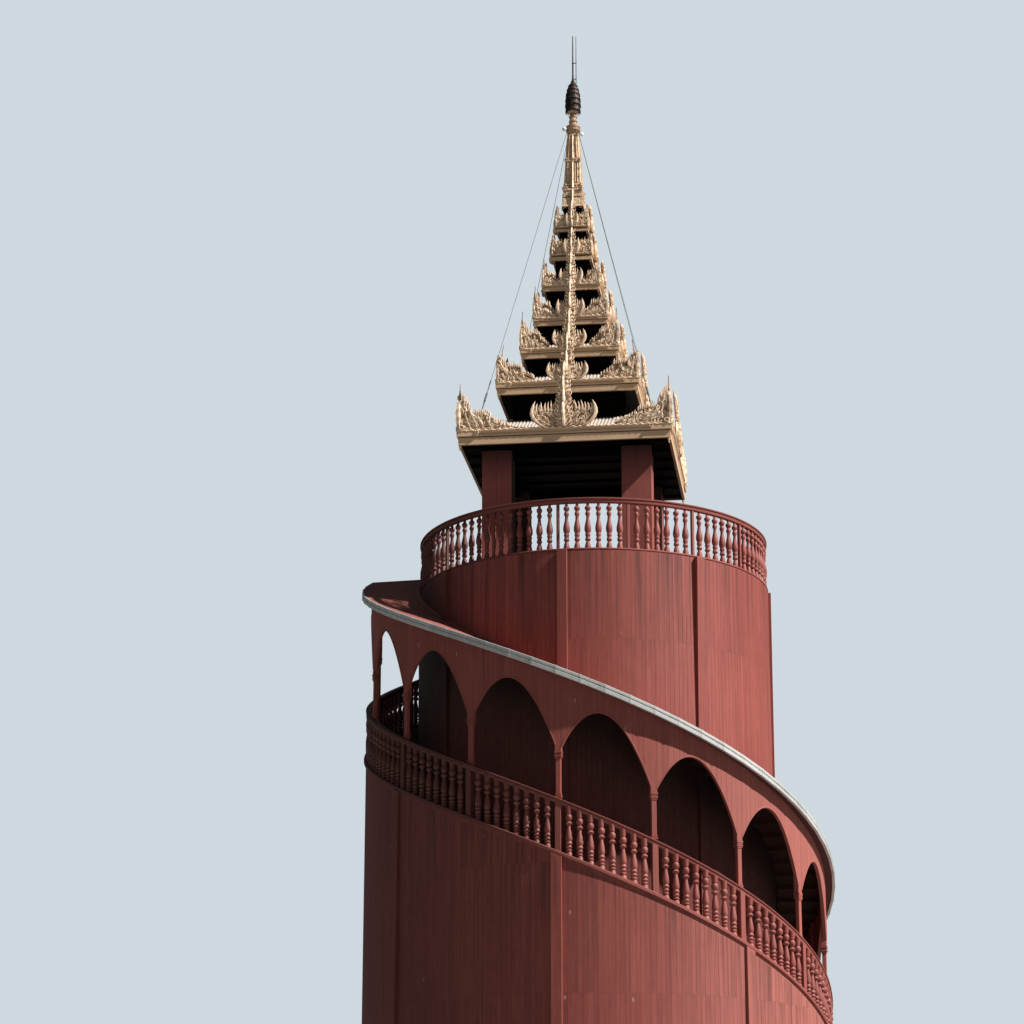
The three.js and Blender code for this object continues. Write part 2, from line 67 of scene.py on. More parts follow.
# ---------------------------------------------------------------- mesh pieces
class Piece:
    """Collects closed parts. g holds each point's own coordinates in metres: across the grain, along it, and a shift."""

    def __init__(self, name):
        self.name = name
        self.v, self.f, self.g, self.tone = [], [], [], []

    def add(self, verts, faces, g=None, tone=0.5):
        n = len(self.v)
        self.v.extend(verts)
        self.g.extend(g if g is not None else verts)
        self.f.extend([tuple(i + n for i in f) for f in faces])
        if isinstance(tone, (int, float)):
            self.tone.extend([tone] * len(faces))
        else:
            self.tone.extend(tone)

    def done(self, material, nodes, slot, angle=32, turn=True):
        me = bpy.data.meshes.new(self.name)
        me.from_pydata(self.v, [], self.f)
        a = me.attributes.new("g", "FLOAT_VECTOR", "POINT")
        a.data.foreach_set("vector", [c for p in self.g for c in p])
        b = me.attributes.new("tone", "FLOAT", "FACE")
        b.data.foreach_set("value", self.tone)
        if turn:
            bm = bmesh.new()
            bm.from_mesh(me)
            bmesh.ops.recalc_face_normals(bm, faces=bm.faces)
            bm.to_mesh(me)
            bm.free()
        me.polygons.foreach_set("use_smooth", [True] * len(me.polygons))
        me.set_sharp_from_angle(angle=math.radians(angle))
        me.update()
        ob = bpy.data.objects.new(self.name, me)
        bpy.context.scene.collection.objects.link(ob)
        me.materials.append(material)
        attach(ob, "root")
        if nodes:
            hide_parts(*([nodes] if isinstance(nodes, str) else nodes))
        return ob


def val(f, t):
    return f(t) if callable(f) else f


def stave(p, t0, t1, ri, ro, lo, hi, seed, tone, ch=0.002, gap=0.0006):
    """Upright board of a round wall between azimuths t0 and t1, with its edges eased."""
    rm = ro
    g0 = math.degrees(gap / rm)
    d0 = math.degrees((gap + ch) / rm)
    if t1 - t0 < 3 * d0:
        return
    ring = [(t0 + g0, ri), (t0 + g0, ro - ch), (t0 + d0, ro), (t1 - d0, ro), (t1 - g0, ro - ch), (t1 - g0, ri)]
    za, zb = val(lo, t0), val(lo, t1)
    ya, yb = val(hi, t0), val(hi, t1)
    verts, g = [], []
    for low in (True, False):
        for t, r in ring:
            u = (t - t0) / (t1 - t0)
            z = za + (zb - za) * u if low else ya + (yb - ya) * u
            verts.append(pol(r, t, z))
            g.append((math.radians(t) * ro + (ro - r) * 0.7, z, seed))
    faces = [(i, (i + 1) % 6, 6 + (i + 1) % 6, 6 + i) for i in range(6)]
    faces += [(5, 4, 3, 2, 1, 0), (6, 7, 8, 9, 10, 11)]
    p.add(verts, faces, g, tone)


def boarded(p, ta, tb, ri, ro, lo, hi, rng, width=0.098, joints=(), breaks=(), ch=0.002):
    """Round wall of upright boards from ta to tb, cut at the ring joints."""
    edges = sorted({ta, tb, *[b for b in breaks if ta < b < tb]})
    wdeg = math.degrees(width / ro)
    for a, b in zip(edges, edges[1:]):
        n = max(1, round((b - a) / wdeg))
        cuts = [a + (b - a) * (i + (rng.uniform(-0.10, 0.10) if 0 < i < n else 0)) / n for i in range(n + 1)]
        for i in range(n):
            t0, t1 = cuts[i], cuts[i + 1]
            l0, l1, h0, h1 = val(lo, t0 + 1e-4), val(lo, t1 - 1e-4), val(hi, t0 + 1e-4), val(hi, t1 - 1e-4)
            inner = [z for z in joints if max(l0, l1) + 0.12 < z < min(h0, h1) - 0.12]
            stops = [None, *sorted(inner), None]
            gap = 0.0019 if rng.random() < 0.12 else 0.0005
            for low, high in zip(stops, stops[1:]):
                tone = min(max(rng.gauss(0.5, 0.2), 0), 1)
                r = ro + rng.uniform(-0.0009, 0.0002)

                def zlo(t, low=low):
                    return l0 + (l1 - l0) * (t - t0) / (t1 - t0) if low is None else low + 0.0006

                def zhi(t, high=high):
                    return h0 + (h1 - h0) * (t - t0) / (t1 - t0) if high is None else high - 0.0006

                if min(zhi(t0) - zlo(t0), zhi(t1) - zlo(t1)) < -0.001 or zhi(t0) - zlo(t0) + zhi(t1) - zlo(t1) < 0.01:
                    continue
                stave(p, t0, t1, ri, r, zlo, zhi, rng.uniform(0, 40), tone, ch, gap)


def sweep(p, ts, outline, seed=0.0, tone=0.5):
    """Closed outline of (r, z) points, carried along the azimuths ts."""
    rings, g = [], []
    pts0 = outline(ts[0])
    m = len(pts0)
    per = [0.0]
    for j in range(m):
        a, b = pts0[j], pts0[(j + 1) % m]
        per.append(per[-1] + math.hypot(a[0] - b[0], a[1] - b[1]))
    for t in ts:
        for j, (r, z) in enumerate(outline(t)):
            rings.append(pol(r, t, z))
            g.append((per[j], math.radians(t) * r, seed))
    faces = []
    for i in range(len(ts) - 1):
        for j in range(m):
            a, b = i * m + j, i * m + (j + 1) % m
            faces.append((a, b, b + m, a + m))
    faces.append(tuple(range(m - 1, -1, -1)))
    faces.append(tuple((len(ts) - 1) * m + j for j in range(m)))
    p.add(rings, faces, g, tone)


def turned(p, x, y, z, profile, sides, seed, tone, phase=0.0):
    """Turned member with its axis upright at x, y; profile is (radius, height)."""
    verts, g = [], []
    m = len(profile)
    cs = [(math.cos(phase + 2 * math.pi * k / sides), math.sin(phase + 2 * math.pi * k / sides)) for k in range(sides)]
    for r, h in profile:
        for k, (c, s) in enumerate(cs):
            verts.append((x + r * c, y + r * s, z + h))
            g.append((2 * math.pi * k / sides * 0.06, z + h, seed))
    faces = []
    for i in range(m - 1):
        for k in range(sides):
            a, b = i * sides + k, i * sides + (k + 1) % sides
            faces.append((a, b, b + sides, a + sides))
    faces.append(tuple(range(sides - 1, -1, -1)))
    faces.append(tuple((m - 1) * sides + k for k in range(sides)))
    p.add(verts, faces, g, tone)


def block(p, o, ux, uy, uz, sx, sy, z0, z1, seed=0.0, tone=0.5, ch=0.004, z1b=None, z0b=None, grain="z"):
    """Squared timber with eased edges. o is a point on its axis, ux, uy, uz its directions, sx and sy its section,
    z0 and z1 its ends along uz; z0b and z1b are the ends on the +ux side where they are cut on a slope."""
    hx, hy = sx / 2, sy / 2
    sec = [(-hx + ch, -hy), (hx - ch, -hy), (hx, -hy + ch), (hx, hy - ch), (hx - ch, hy), (-hx + ch, hy), (-hx, hy - ch), (-hx, -hy + ch)]
    z0b = z0 if z0b is None else z0b
    z1b = z1 if z1b is None else z1b
    verts, g = [], []
    for a, b in ((z0, z0b), (z1, z1b)):
        for x, y in sec:
            u = (x + hx) / sx
            w = a + (b - a) * u
            verts.append(tuple(o[k] + ux[k] * x + uy[k] * y + uz[k] * w for k in range(3)))
            g.append((x + y * 0.8, w, seed) if grain == "z" else (w, x + y * 0.8, seed))
    faces = [(i, (i + 1) % 8, 8 + (i + 1) % 8, 8 + i) for i in range(8)]
    faces += [tuple(range(7, -1, -1)), tuple(range(8, 16))]
    p.add(verts, faces, g, tone)


def upright(p, r, t, w, d, z0, z1, seed=0.0, tone=0.5, ch=0.004, slope=0.0):
    """Upright squared post at radius r and azimuth t, w along the wall and d deep; slope is the rise per metre of its ends."""
    a = math.radians(t)
    tan = (-math.cos(a), math.sin(a), 0.0)     # direction of growing azimuth
    rad = (-math.sin(a), -math.cos(a), 0.0)
    o = (-r * math.sin(a), -r * math.cos(a), 0.0)
    s = slope * w / 2
    block(p, o, tan, rad, (0, 0, 1), w, d, z0 - s, z1 - s, seed, tone, ch, z1 + s, z0 + s)


def wedge(p, t0, t1, r0, r1, lo, hi, seed, tone, n=1, grain="r"):
    """Part of a ring between two azimuths and two radii; lo and hi may be functions of the azimuth."""
    ts = [t0 + (t1 - t0) * i / n for i in range(n + 1)]
    verts, g = [], []
    for t in ts:
        for r, f in ((r0, lo), (r1, lo), (r1, hi), (r0, hi)):
            z = val(f, t)
            verts.append(pol(r, t, z))
            arc = math.radians(t - t0) * (r0 + r1) / 2
            g.append((arc + z * 0.5, r, seed) if grain == "r" else (r + z, arc, seed) if grain == "t" else (arc + r, z, seed))
    faces = []
    for i in range(n):
        for j in range(4):
            a, b = i * 4 + j, i * 4 + (j + 1) % 4
            faces.append((a, b, b + 4, a + 4))
    faces.append((3, 2, 1, 0))
    faces.append(tuple(n * 4 + j for j in range(4)))
    p.add(verts, faces, g, tone)


def spread(a, b, step):
    n = max(1, round((b - a) / step))
    return [a + (b - a) * i / n for i in range(n + 1)]


# ---------------------------------------------------------------- materials
class Mat:
    def __init__(self, name):
        self.m = bpy.data.materials.new(name)
        self.m.use_nodes = True
        self.nt = self.m.node_tree
        self.nt.nodes.clear()
        self.out = self.n("ShaderNodeOutputMaterial")
        self.b = self.n("ShaderNodeBsdfPrincipled")
        self.link(self.b.outputs[0], self.out.inputs[0])

    def n(self, kind, **props):
        node = self.nt.nodes.new(kind)
        for k, v in props.items():
            setattr(node, k, v)
        return node

    def link(self, a, b):
        self.nt.links.new(a, b)

    def attr(self, name):
        return self.n("ShaderNodeAttribute", attribute_name=name)

    def scaled(self, vec, sx, sy, sz=1.0):
        v = self.n("ShaderNodeVectorMath", operation="MULTIPLY")
        self.link(vec, v.inputs[0])
        v.inputs[1].default_value = (sx, sy, sz)
        return v.outputs[0]

    def noise(self, vec, scale=1.0, detail=3.0, rough=0.55, distortion=0.0):
        t = self.n("ShaderNodeTexNoise")
        self.link(vec, t.inputs["Vector"])
        t.inputs["Scale"].default_value = scale
        t.inputs["Detail"].default_value = detail
        t.inputs["Roughness"].default_value = rough
        t.inputs["Distortion"].default_value = distortion
        return t.outputs[0]

    def voronoi(self, vec, scale=1.0, feature="F1"):
        t = self.n("ShaderNodeTexVoronoi", feature=feature)
        self.link(vec, t.inputs["Vector"])
        t.inputs["Scale"].default_value = scale
        return t.outputs[0]

    def ramp(self, fac, stops):
        r = self.n("ShaderNodeValToRGB")
        els = r.color_ramp.elements
        while len(els) < len(stops):
            els.new(0.5)
        for e, (pos, col) in zip(els, stops):
            e.position = pos
            e.color = (*col, 1.0) if len(col) == 3 else col
        self.link(fac, r.inputs[0])
        return r.outputs[0]

    def range(self, value, a, b, c=0.0, d=1.0):
        m = self.n("ShaderNodeMapRange")
        self.link(value, m.inputs[0])
        for i, v in enumerate((a, b, c, d)):
            m.inputs[i + 1].default_value = v
        return m.outputs[0]

    def math(self, op, a, b):
        m = self.n("ShaderNodeMath", operation=op)
        for i, v in enumerate((a, b)):
            if isinstance(v, (int, float)):
                m.inputs[i].default_value = v
            else:
                self.link(v, m.inputs[i])
        return m.outputs[0]

    def mix(self, fac, a, b, blend="MIX"):
        m = self.n("ShaderNodeMix", data_type="RGBA", blend_type=blend)
        m.inputs[0].default_value = fac if isinstance(fac, (int, float)) else 1.0
        if not isinstance(fac, (int, float)):
            self.link(fac, m.inputs[0])
        for i, v in ((6, a), (7, b)):
            if isinstance(v, tuple):
                m.inputs[i].default_value = (*v, 1.0)
            else:
                self.link(v, m.inputs[i])
        return m.outputs[2]

    def bump(self, height, strength, distance, normal=None):
        b = self.n("ShaderNodeBump")
        b.inputs["Strength"].default_value = strength
        b.inputs["Distance"].default_value = distance
        self.link(height, b.inputs["Height"])
        if normal is not None:
            self.link(normal, b.inputs["Normal"])
        return b.outputs[0]

    def end(self, color, rough, normal=None, metallic=None, specular=None, coat=None):
        self.link(color, self.b.inputs["Base Color"])
        self.link(rough, self.b.inputs["Roughness"])
        if normal is not None:
            self.link(normal, self.b.inputs["Normal"])
        if metallic is not None:
            if isinstance(metallic, (int, float)):
                self.b.inputs["Metallic"].default_value = metallic
            else:
                self.link(metallic, self.b.inputs["Metallic"])
        if specular is not None:
            self.b.inputs["Specular IOR Level"].default_value = specular
        return self.m


def painted_timber(name, dark, mid, light, streak=1.0, scuffs=0.5, rough=(0.5, 0.75), dirt=(0.10, 0.035, 0.03), gallery=False, painted_shade_side=None, head=False, drips=False, painted_sunlit_side=0.0, painted_shade_below=0.0):
    """Red oxide paint on timber: tone by the board, streaks and grain along it, faded patches, small pale scuffs.
    With gallery, painted shade darkens the paint over the height of the covered stair, most under its roof.
    painted_shade_side is painted shade on the side towards -X, as (x where it starts, x where it is full, share); head
    puts painted shade on the paint just under the pavilion's ceiling; drips are dark runs on the outer wall below the
    gallery's floor; painted_sunlit_side is the share of painted sunlight, lighter paint towards +X;
    painted_shade_below is the share of painted shade on faces that look down."""
    m = Mat(name)
    g = m.attr("g").outputs["Vector"]
    tone = m.attr("tone").outputs["Fac"]
    broad = m.noise(m.scaled(g, 14.0, 0.30, 1.0), 1.0, 4.0, 0.6)
    fine = m.noise(m.scaled(g, 75.0, 1.1, 1.0), 1.0, 5.0, 0.65)
    hair = m.noise(m.scaled(g, 240.0, 5.0, 1.0), 1.0, 3.0, 0.6)
    pos = m.n("ShaderNodeTexCoord").outputs["Object"]
    patch = m.noise(m.scaled(pos, 0.55, 0.55, 0.3), 1.0, 4.0, 0.6)
    mottle = m.noise(m.scaled(pos, 7.0, 7.0, 4.0), 1.0, 5.0, 0.7)
    s = m.math("MULTIPLY", broad, 0.26 * streak)
    s = m.math("ADD", s, m.math("MULTIPLY", fine, 0.40 * streak))
    s = m.math("ADD", s, m.math("MULTIPLY", tone, 0.12))
    s = m.math("ADD", s, m.math("MULTIPLY", patch, 0.24))
    s = m.math("ADD", s, m.math("MULTIPLY", mottle, 0.18))
    half = 0.13 * streak + 0.20 * streak + 0.06 + 0.12 + 0.09
    fac = m.range(s, half - 0.22, half + 0.22)
    col = m.ramp(fac, [(0.0, dark), (0.5, mid), (1.0, light)])
    worn = m.range(m.noise(m.scaled(g, 34.0, 2.0, 1.0), 1.0, 6.0, 0.75), 0.60, 0.74)
    col = m.mix(m.math("MULTIPLY", worn, 0.44), col, dirt)
    faded = m.range(m.noise(m.scaled(g, 5.0, 0.9, 0.3), 1.0, 5.0, 0.7), 0.56, 0.75)
    col = m.mix(m.math("MULTIPLY", faded, 0.20), col, tuple(min(1.0, c * 1.25 + 0.05) for c in light))
    crack = m.range(m.noise(m.scaled(g, 58.0, 0.42, 1.0), 1.0, 2.0, 0.5), 0.655, 0.70)
    col = m.mix(m.math("MULTIPLY", crack, 0.42 * min(1.0, streak)), col, dirt)
    spots = m.range(m.voronoi(m.scaled(g, 2.3, 1.1, 0.0), 1.0), 0.062, 0.022)
    col = m.mix(m.math("MULTIPLY", spots, scuffs), col, (0.62, 0.36, 0.31))
    # painted sunlight: the paint turns lighter towards +X, the side the key light comes from
    if painted_sunlit_side:
        se = m.n("ShaderNodeSeparateXYZ")
        m.link(pos, se.inputs[0])
        col = m.mix(m.range(se.outputs[0], 1.2, 4.4, 0.0, painted_sunlit_side), col, (0.64, 0.25, 0.21))
    # painted shade: faces that look down darken towards near-black
    if painted_shade_below:
        sn = m.n("ShaderNodeSeparateXYZ")
        m.link(m.n("ShaderNodeNewGeometry").outputs["Normal"], sn.inputs[0])
        col = m.mix(m.range(sn.outputs[2], -0.4, -0.8, 0.0, painted_shade_below), col, (0.016, 0.010, 0.008))
    # painted shade: the paint darkens towards near-black on the -X side, away from the key light
    if painted_shade_side:
        sx = m.n("ShaderNodeSeparateXYZ")
        m.link(pos, sx.inputs[0])
        col = m.mix(m.range(sx.outputs[0], painted_shade_side[0], painted_shade_side[1], 0.0, painted_shade_side[2]), col, (0.016, 0.010, 0.008))
    # painted shade: the paint darkens towards the top, just under the pavilion's ceiling
    if head:
        sz = m.n("ShaderNodeSeparateXYZ")
        m.link(pos, sz.inputs[0])
        col = m.mix(m.range(sz.outputs[2], H + 2.0, H + 2.72, 0.0, 0.84), col, (0.016, 0.010, 0.008))
    if gallery or drips:
        sep = m.n("ShaderNodeSeparateXYZ")
        m.link(pos, sep.inputs[0])
        turn = m.math("ARCTAN2", m.math("MULTIPLY", sep.outputs[0], -1.0), m.math("MULTIPLY", sep.outputs[1], -1.0))
        over = m.math("SUBTRACT", sep.outputs[2], m.math("MULTIPLY", turn, RPD * 180 / math.pi))
        over = m.math("FLOORED_MODULO", m.math("ADD", over, T0 * RPD), RPD * 360)
    if drips:
        run = m.range(m.noise(m.scaled(g, 9.0, 0.20, 1.0), 1.0, 5.0, 0.65), 0.47, 0.64)
        near = m.range(over, RPD * 360 - 2.4, RPD * 360 - 0.1, 0.0, 0.62)
        col = m.mix(m.math("MULTIPLY", run, near), col, (0.050, 0.022, 0.018))
    if gallery:
        run = m.range(m.noise(m.scaled(g, 9.0, 0.20, 1.0), 1.0, 5.0, 0.65), 0.47, 0.64)
        near = m.range(sep.outputs[2], H - 2.6, H - 0.1, 0.0, 0.62)
        col = m.mix(m.math("MULTIPLY", run, near), col, (0.050, 0.022, 0.018))
        # painted shade: inside the covered stair the paint darkens towards near-black, more towards the gallery's roof
        roofed = m.math("LESS_THAN", m.math("SUBTRACT", sep.outputs[2], over), (ROOF_END - T0) * RPD)
        under = m.math("MULTIPLY", m.math("LESS_THAN", over, 3.60), roofed)
        grade = m.math("ADD", m.range(over, 1.0, 3.0, 0.46, 0.93), m.range(mottle, 0.2, 0.8, 0.05, -0.05))
        col = m.mix(m.math("MULTIPLY", under, grade), col, (0.012, 0.007, 0.006))
    r = m.range(fine, 0.25, 0.75, rough[1], rough[0])
    h = m.math("ADD", m.math("MULTIPLY", fine, 0.6), m.math("MULTIPLY", hair, 0.4))
    n = m.bump(h, 0.35, 0.004)
    return m.end(col, r, n, specular=0.35)


def raw_timber(name, dark, mid, light, rough=(0.6, 0.85), specular=0.3):
    m = Mat(name)
    g = m.attr("g").outputs["Vector"]
    tone = m.attr("tone").outputs["Fac"]
    broad = m.noise(m.scaled(g, 16.0, 0.8, 1.0), 1.0, 4.0, 0.6, 0.6)
    fine = m.noise(m.scaled(g, 120.0, 4.0, 1.0), 1.0, 5.0, 0.7)
    s = m.math("ADD", m.math("MULTIPLY", broad, 0.5), m.math("MULTIPLY", fine, 0.3))
    s = m.math("ADD", s, m.math("MULTIPLY", tone, 0.35))
    col = m.ramp(m.range(s, 0.35, 0.85), [(0.0, dark), (0.5, mid), (1.0, light)])
    stain = m.range(m.noise(m.n("ShaderNodeTexCoord").outputs["Object"], 1.4, 5.0, 0.65), 0.5, 0.72)
    col = m.mix(m.math("MULTIPLY", stain, 0.45), col, dark)
    n = m.bump(m.math("ADD", m.math("MULTIPLY", broad, 0.4), m.math("MULTIPLY", fine, 0.6)), 0.5, 0.004)
    return m.end(col, m.range(fine, 0.3, 0.7, rough[1], rough[0]), n, specular=specular)


def gilding(name):
    """Weathered gilding on carved timber: bright leaf on the raised work, brown wash in the hollows, worn patches."""
    m = Mat(name)
    pos = m.n("ShaderNodeTexCoord").outputs["Object"]
    tone = m.attr("tone").outputs["Fac"]
    broad = m.noise(pos, 2.1, 5.0, 0.65)
    carve = m.noise(m.scaled(pos, 1.0, 1.0, 1.0), 19.0, 4.0, 0.65, 1.6)
    chased = m.voronoi(m.scaled(pos, 1.0, 1.0, 0.62), 21.0)
    fine = m.noise(pos, 90.0, 4.0, 0.6)
    s = m.math("ADD", m.math("MULTIPLY", tone, 0.60), m.math("MULTIPLY", carve, 0.42))
    s = m.math("ADD", s, m.math("MULTIPLY", broad, 0.24))
    s = m.math("ADD", s, m.math("MULTIPLY", chased, -0.14))
    col = m.ramp(m.range(s, 0.20, 0.88), [(0.0, (0.140, 0.072, 0.038)), (0.22, (0.370, 0.225, 0.130)), (0.50, (0.690, 0.470, 0.300)), (0.76, (0.88, 0.660, 0.460)), (1.0, (0.96, 0.790, 0.600))])
    worn = m.range(m.noise(pos, 6.5, 6.0, 0.7), 0.55, 0.68)
    col = m.mix(m.math("MULTIPLY", worn, 0.36), col, (0.34, 0.190, 0.110))
    metal = m.range(s, 0.3, 0.9, 0.0, 0.10)
    r = m.range(m.math("ADD", m.math("MULTIPLY", fine, 0.5), m.math("MULTIPLY", broad, 0.5)), 0.3, 0.7, 0.62, 0.36)
    h = m.math("ADD", m.math("MULTIPLY", carve, 0.6), m.math("MULTIPLY", chased, 0.5))
    h = m.math("ADD", h, m.math("MULTIPLY", fine, 0.2))
    n = m.bump(h, 0.5, 0.03)
    return m.end(col, r, n, metallic=metal)


def gilt_board(name):
    """Flat gilded boards: even ochre leaf with faint streaks along them, darker at worn places."""
    m = Mat(name)
    pos = m.n("ShaderNodeTexCoord").outputs["Object"]
    tone = m.attr("tone").outputs["Fac"]
    long = m.noise(m.scaled(pos, 1.6, 1.6, 26.0), 1.0, 4.0, 0.6)
    fine = m.noise(pos, 60.0, 4.0, 0.6)
    s = m.math("ADD", m.math("MULTIPLY", long, 0.30), m.math("MULTIPLY", fine, 0.20))
    s = m.math("ADD", s, m.math("MULTIPLY", tone, 0.50))
    col = m.ramp(m.range(s, 0.20, 0.90), [(0.0, (0.130, 0.072, 0.038)), (0.35, (0.500, 0.325, 0.190)), (0.7, (0.80, 0.560, 0.355)), (1.0, (0.92, 0.700, 0.490))])
    worn = m.range(m.noise(pos, 3.2, 6.0, 0.7), 0.60, 0.74)
    col = m.mix(m.math("MULTIPLY", worn, 0.30), col, (0.26, 0.150, 0.090))
    n = m.bump(m.math("ADD", m.math("MULTIPLY", long, 0.6), m.math("MULTIPLY", fine, 0.4)), 0.3, 0.004)
    return m.end(col, m.range(fine, 0.25, 0.75, 0.66, 0.46), n, metallic=0.05)


def plain_metal(name, dark, mid, light, metallic, rough, scale=3.0, bump=0.25, rust=0.3, rust_col=(0.23, 0.12, 0.07)):
    m = Mat(name)
    pos = m.n("ShaderNodeTexCoord").outputs["Object"]
    tone = m.attr("tone").outputs["Fac"]
    broad = m.noise(pos, scale, 5.0, 0.6)
    drip = m.noise(m.scaled(pos, 9.0, 9.0, 0.8), 1.0, 4.0, 0.6)
    fine = m.noise(pos, scale * 22, 4.0, 0.6)
    s = m.math("ADD", m.math("MULTIPLY", broad, 0.5), m.math("MULTIPLY", drip, 0.28))
    s = m.math("ADD", s, m.math("MULTIPLY", tone, 0.3))
    col = m.ramp(m.range(s, 0.32, 0.82), [(0.0, dark), (0.5, mid), (1.0, light)])
    spots = m.range(m.noise(m.scaled(pos, 5.0, 5.0, 2.0), 1.0, 6.0, 0.75), 0.56, 0.72)
    col = m.mix(m.math("MULTIPLY", spots, rust), col, rust_col)
    r = m.range(m.math("ADD", m.math("MULTIPLY", fine, 0.4), m.math("MULTIPLY", broad, 0.6)), 0.3, 0.7, rough[1], rough[0])
    n = m.bump(fine, bump, 0.003)
    return m.end(col, r, n, metallic=metallic)


# RED carries painted sunlight towards +X
RED = painted_timber("red_boards", (0.180, 0.046, 0.038), (0.300, 0.078, 0.062), (0.410, 0.118, 0.096), painted_sunlit_side=0.30)
# JOIN carries painted shade on its -X side
JOIN = painted_timber("red_joinery", (0.190, 0.052, 0.044), (0.315, 0.090, 0.075), (0.430, 0.140, 0.116), streak=0.8, scuffs=0.15, rough=(0.42, 0.66), painted_shade_side=(0.6, -3.0, 0.66))
# DRUM carries painted shade inside the covered stair and on its -X side, besides dark runs under the platform
DRUM = painted_timber("red_drum_boards", (0.180, 0.044, 0.037), (0.302, 0.075, 0.061), (0.412, 0.110, 0.090), scuffs=0.7, gallery=True, painted_shade_side=(-2.2, -3.4, 0.80))
# WALL carries painted shade on its -X side and painted sunlight towards +X, besides its dark runs
WALL = painted_timber("red_wall_boards", (0.180, 0.044, 0.037), (0.302, 0.075, 0.061), (0.412, 0.110, 0.090), scuffs=0.7, painted_shade_side=(-0.9, -3.2, 0.40), drips=True, painted_sunlit_side=0.42)
# PIERS carry painted shade at their heads, under the pavilion's ceiling
PIERS = painted_timber("red_piers", (0.230, 0.064, 0.054), (0.350, 0.098, 0.082), (0.46, 0.140, 0.116), streak=0.7, scuffs=0.4, head=True)
# near-black red paint: painted shade for the gallery's soffit and rafters and for the piers' inward faces
PAINTED_SHADE_RED = painted_timber("painted_shade_red_timber", (0.022, 0.010, 0.008), (0.045, 0.018, 0.014), (0.085, 0.032, 0.026), streak=0.8, scuffs=0.1, rough=(0.6, 0.85), dirt=(0.02, 0.012, 0.01))
# ROOFB carries painted shade on the faces that look down
ROOFB = painted_timber("roof_boards", (0.165, 0.054, 0.046), (0.290, 0.092, 0.076), (0.41, 0.140, 0.114), streak=1.1, scuffs=0.2, rough=(0.6, 0.85), painted_shade_below=0.60)
DECK = raw_timber("deck_timber", (0.055, 0.025, 0.018), (0.130, 0.060, 0.042), (0.235, 0.120, 0.085))
# near-black timber: painted shade for the pavilion's eave soffits, bearers and storeys
PAINTED_SHADE_DARK = raw_timber("dark_timber", (0.0015, 0.0013, 0.001), (0.0035, 0.0027, 0.0022), (0.008, 0.006, 0.005), specular=0.04)
GOLD = gilding("gilded_work")
BAND = gilt_board("gilded_boards")
GUTTER = plain_metal("gutter_metal", (0.38, 0.39, 0.38), (0.60, 0.61, 0.60), (0.74, 0.75, 0.75), 0.12, (0.34, 0.55), 2.0, 0.2, 0.22, (0.30, 0.24, 0.18))
SHEET = plain_metal("roof_iron", (0.40, 0.33, 0.29), (0.66, 0.58, 0.52), (0.84, 0.77, 0.71), 0.25, (0.38, 0.6), 2.5, 0.25, 0.45, (0.30, 0.17, 0.11))
IRON = plain_metal("dark_iron", (0.014, 0.011, 0.010), (0.045, 0.032, 0.027), (0.12, 0.085, 0.065), 0.55, (0.42, 0.68), 9.0, 0.5, 0.5, (0.16, 0.085, 0.05))
STEEL = plain_metal("steel_cable", (0.085, 0.090, 0.094), (0.15, 0.157, 0.162), (0.24, 0.247, 0.254), 0.1, (0.65, 0.85), 8.0, 0.2, 0.2)

# ---------------------------------------------------------------- round walls
DRUM_JOINTS = [H - 1.80 - 2.44 * k for k in range(-0, 7)]
PIL_DRUM = [9.65, -35.05, -86.3, -130.0, -173.0, 144.0, 99.5, 54.5]     # centre azimuths
PIL_WALL = [8.95, 55.4, 99.8, 144.3, 188.7, 233.1, 277.6, 322.0]


def norm(t, lo):
    while t < lo:
        t += 360
    while t >= lo + 360:
        t -= 360
    return t


for k in range(4):
    a, b = T0 + 90 * k, T0 + 90 * (k + 1)
    rng = random.Random(100 + k)
    p = Piece(f"drum_boards_{k + 1}")
    boarded(p, a + 0.005, b - 0.005, DRUM_R - DRUM_T, DRUM_R, 0.0, H - 0.003, rng, 0.098, DRUM_JOINTS)
    # upright cover strips, a little prouder towards the platform
    for c in PIL_DRUM:
        c = norm(c, T0)
        if a <= c < b:
            half = math.degrees(0.098 / DRUM_R)
            tops = [0.0, H - 9.0, H - 5.0, H - 3.4, H - 1.8, H - 0.003]
            outs = [0.045, 0.045, 0.046, 0.050, 0.072, 0.100] if c > T0 + 230 or c < T0 + 190 else [0.045, 0.045, 0.045, 0.047, 0.052, 0.060]
            verts, g = [], []
            for z, o in zip(tops, outs):
                for t, r in ((c - half, DRUM_R - 0.02), (c - half, DRUM_R + o - 0.004), (c - half + 0.06, DRUM_R + o), (c + half - 0.06, DRUM_R + o), (c + half, DRUM_R + o - 0.004), (c + half, DRUM_R - 0.02)):
                    verts.append(pol(r, t, z))
                    g.append((math.radians(t) * DRUM_R + r, z, 7.0 + c))
            faces = []
            for i in range(len(tops) - 1):
                for j in range(6):
                    faces.append((i * 6 + j, i * 6 + (j + 1) % 6, (i + 1) * 6 + (j + 1) % 6, (i + 1) * 6 + j))
            faces.append((5, 4, 3, 2, 1, 0))
            faces.append(tuple((len(tops) - 1) * 6 + j for j in range(6)))
            p.add(verts, faces, g, 0.55)
    p.done(DRUM, f"drum_wall_{k + 1}", "red_boards", 20)

DOOR_A, DOOR_B, DOOR_S, DOOR_R = bay(15) + 3, bay(16) - 4.5, 2.1, 0.9


def door_arch(t):
    return DOOR_S + DOOR_R * (1 - ((2 * t - DOOR_A - DOOR_B) / (DOOR_B - DOOR_A)) ** 2)


def over_roof(t):
    return zf(t - 360) + 3.6406


def wall_top(t):
    return zf(t) + KERB


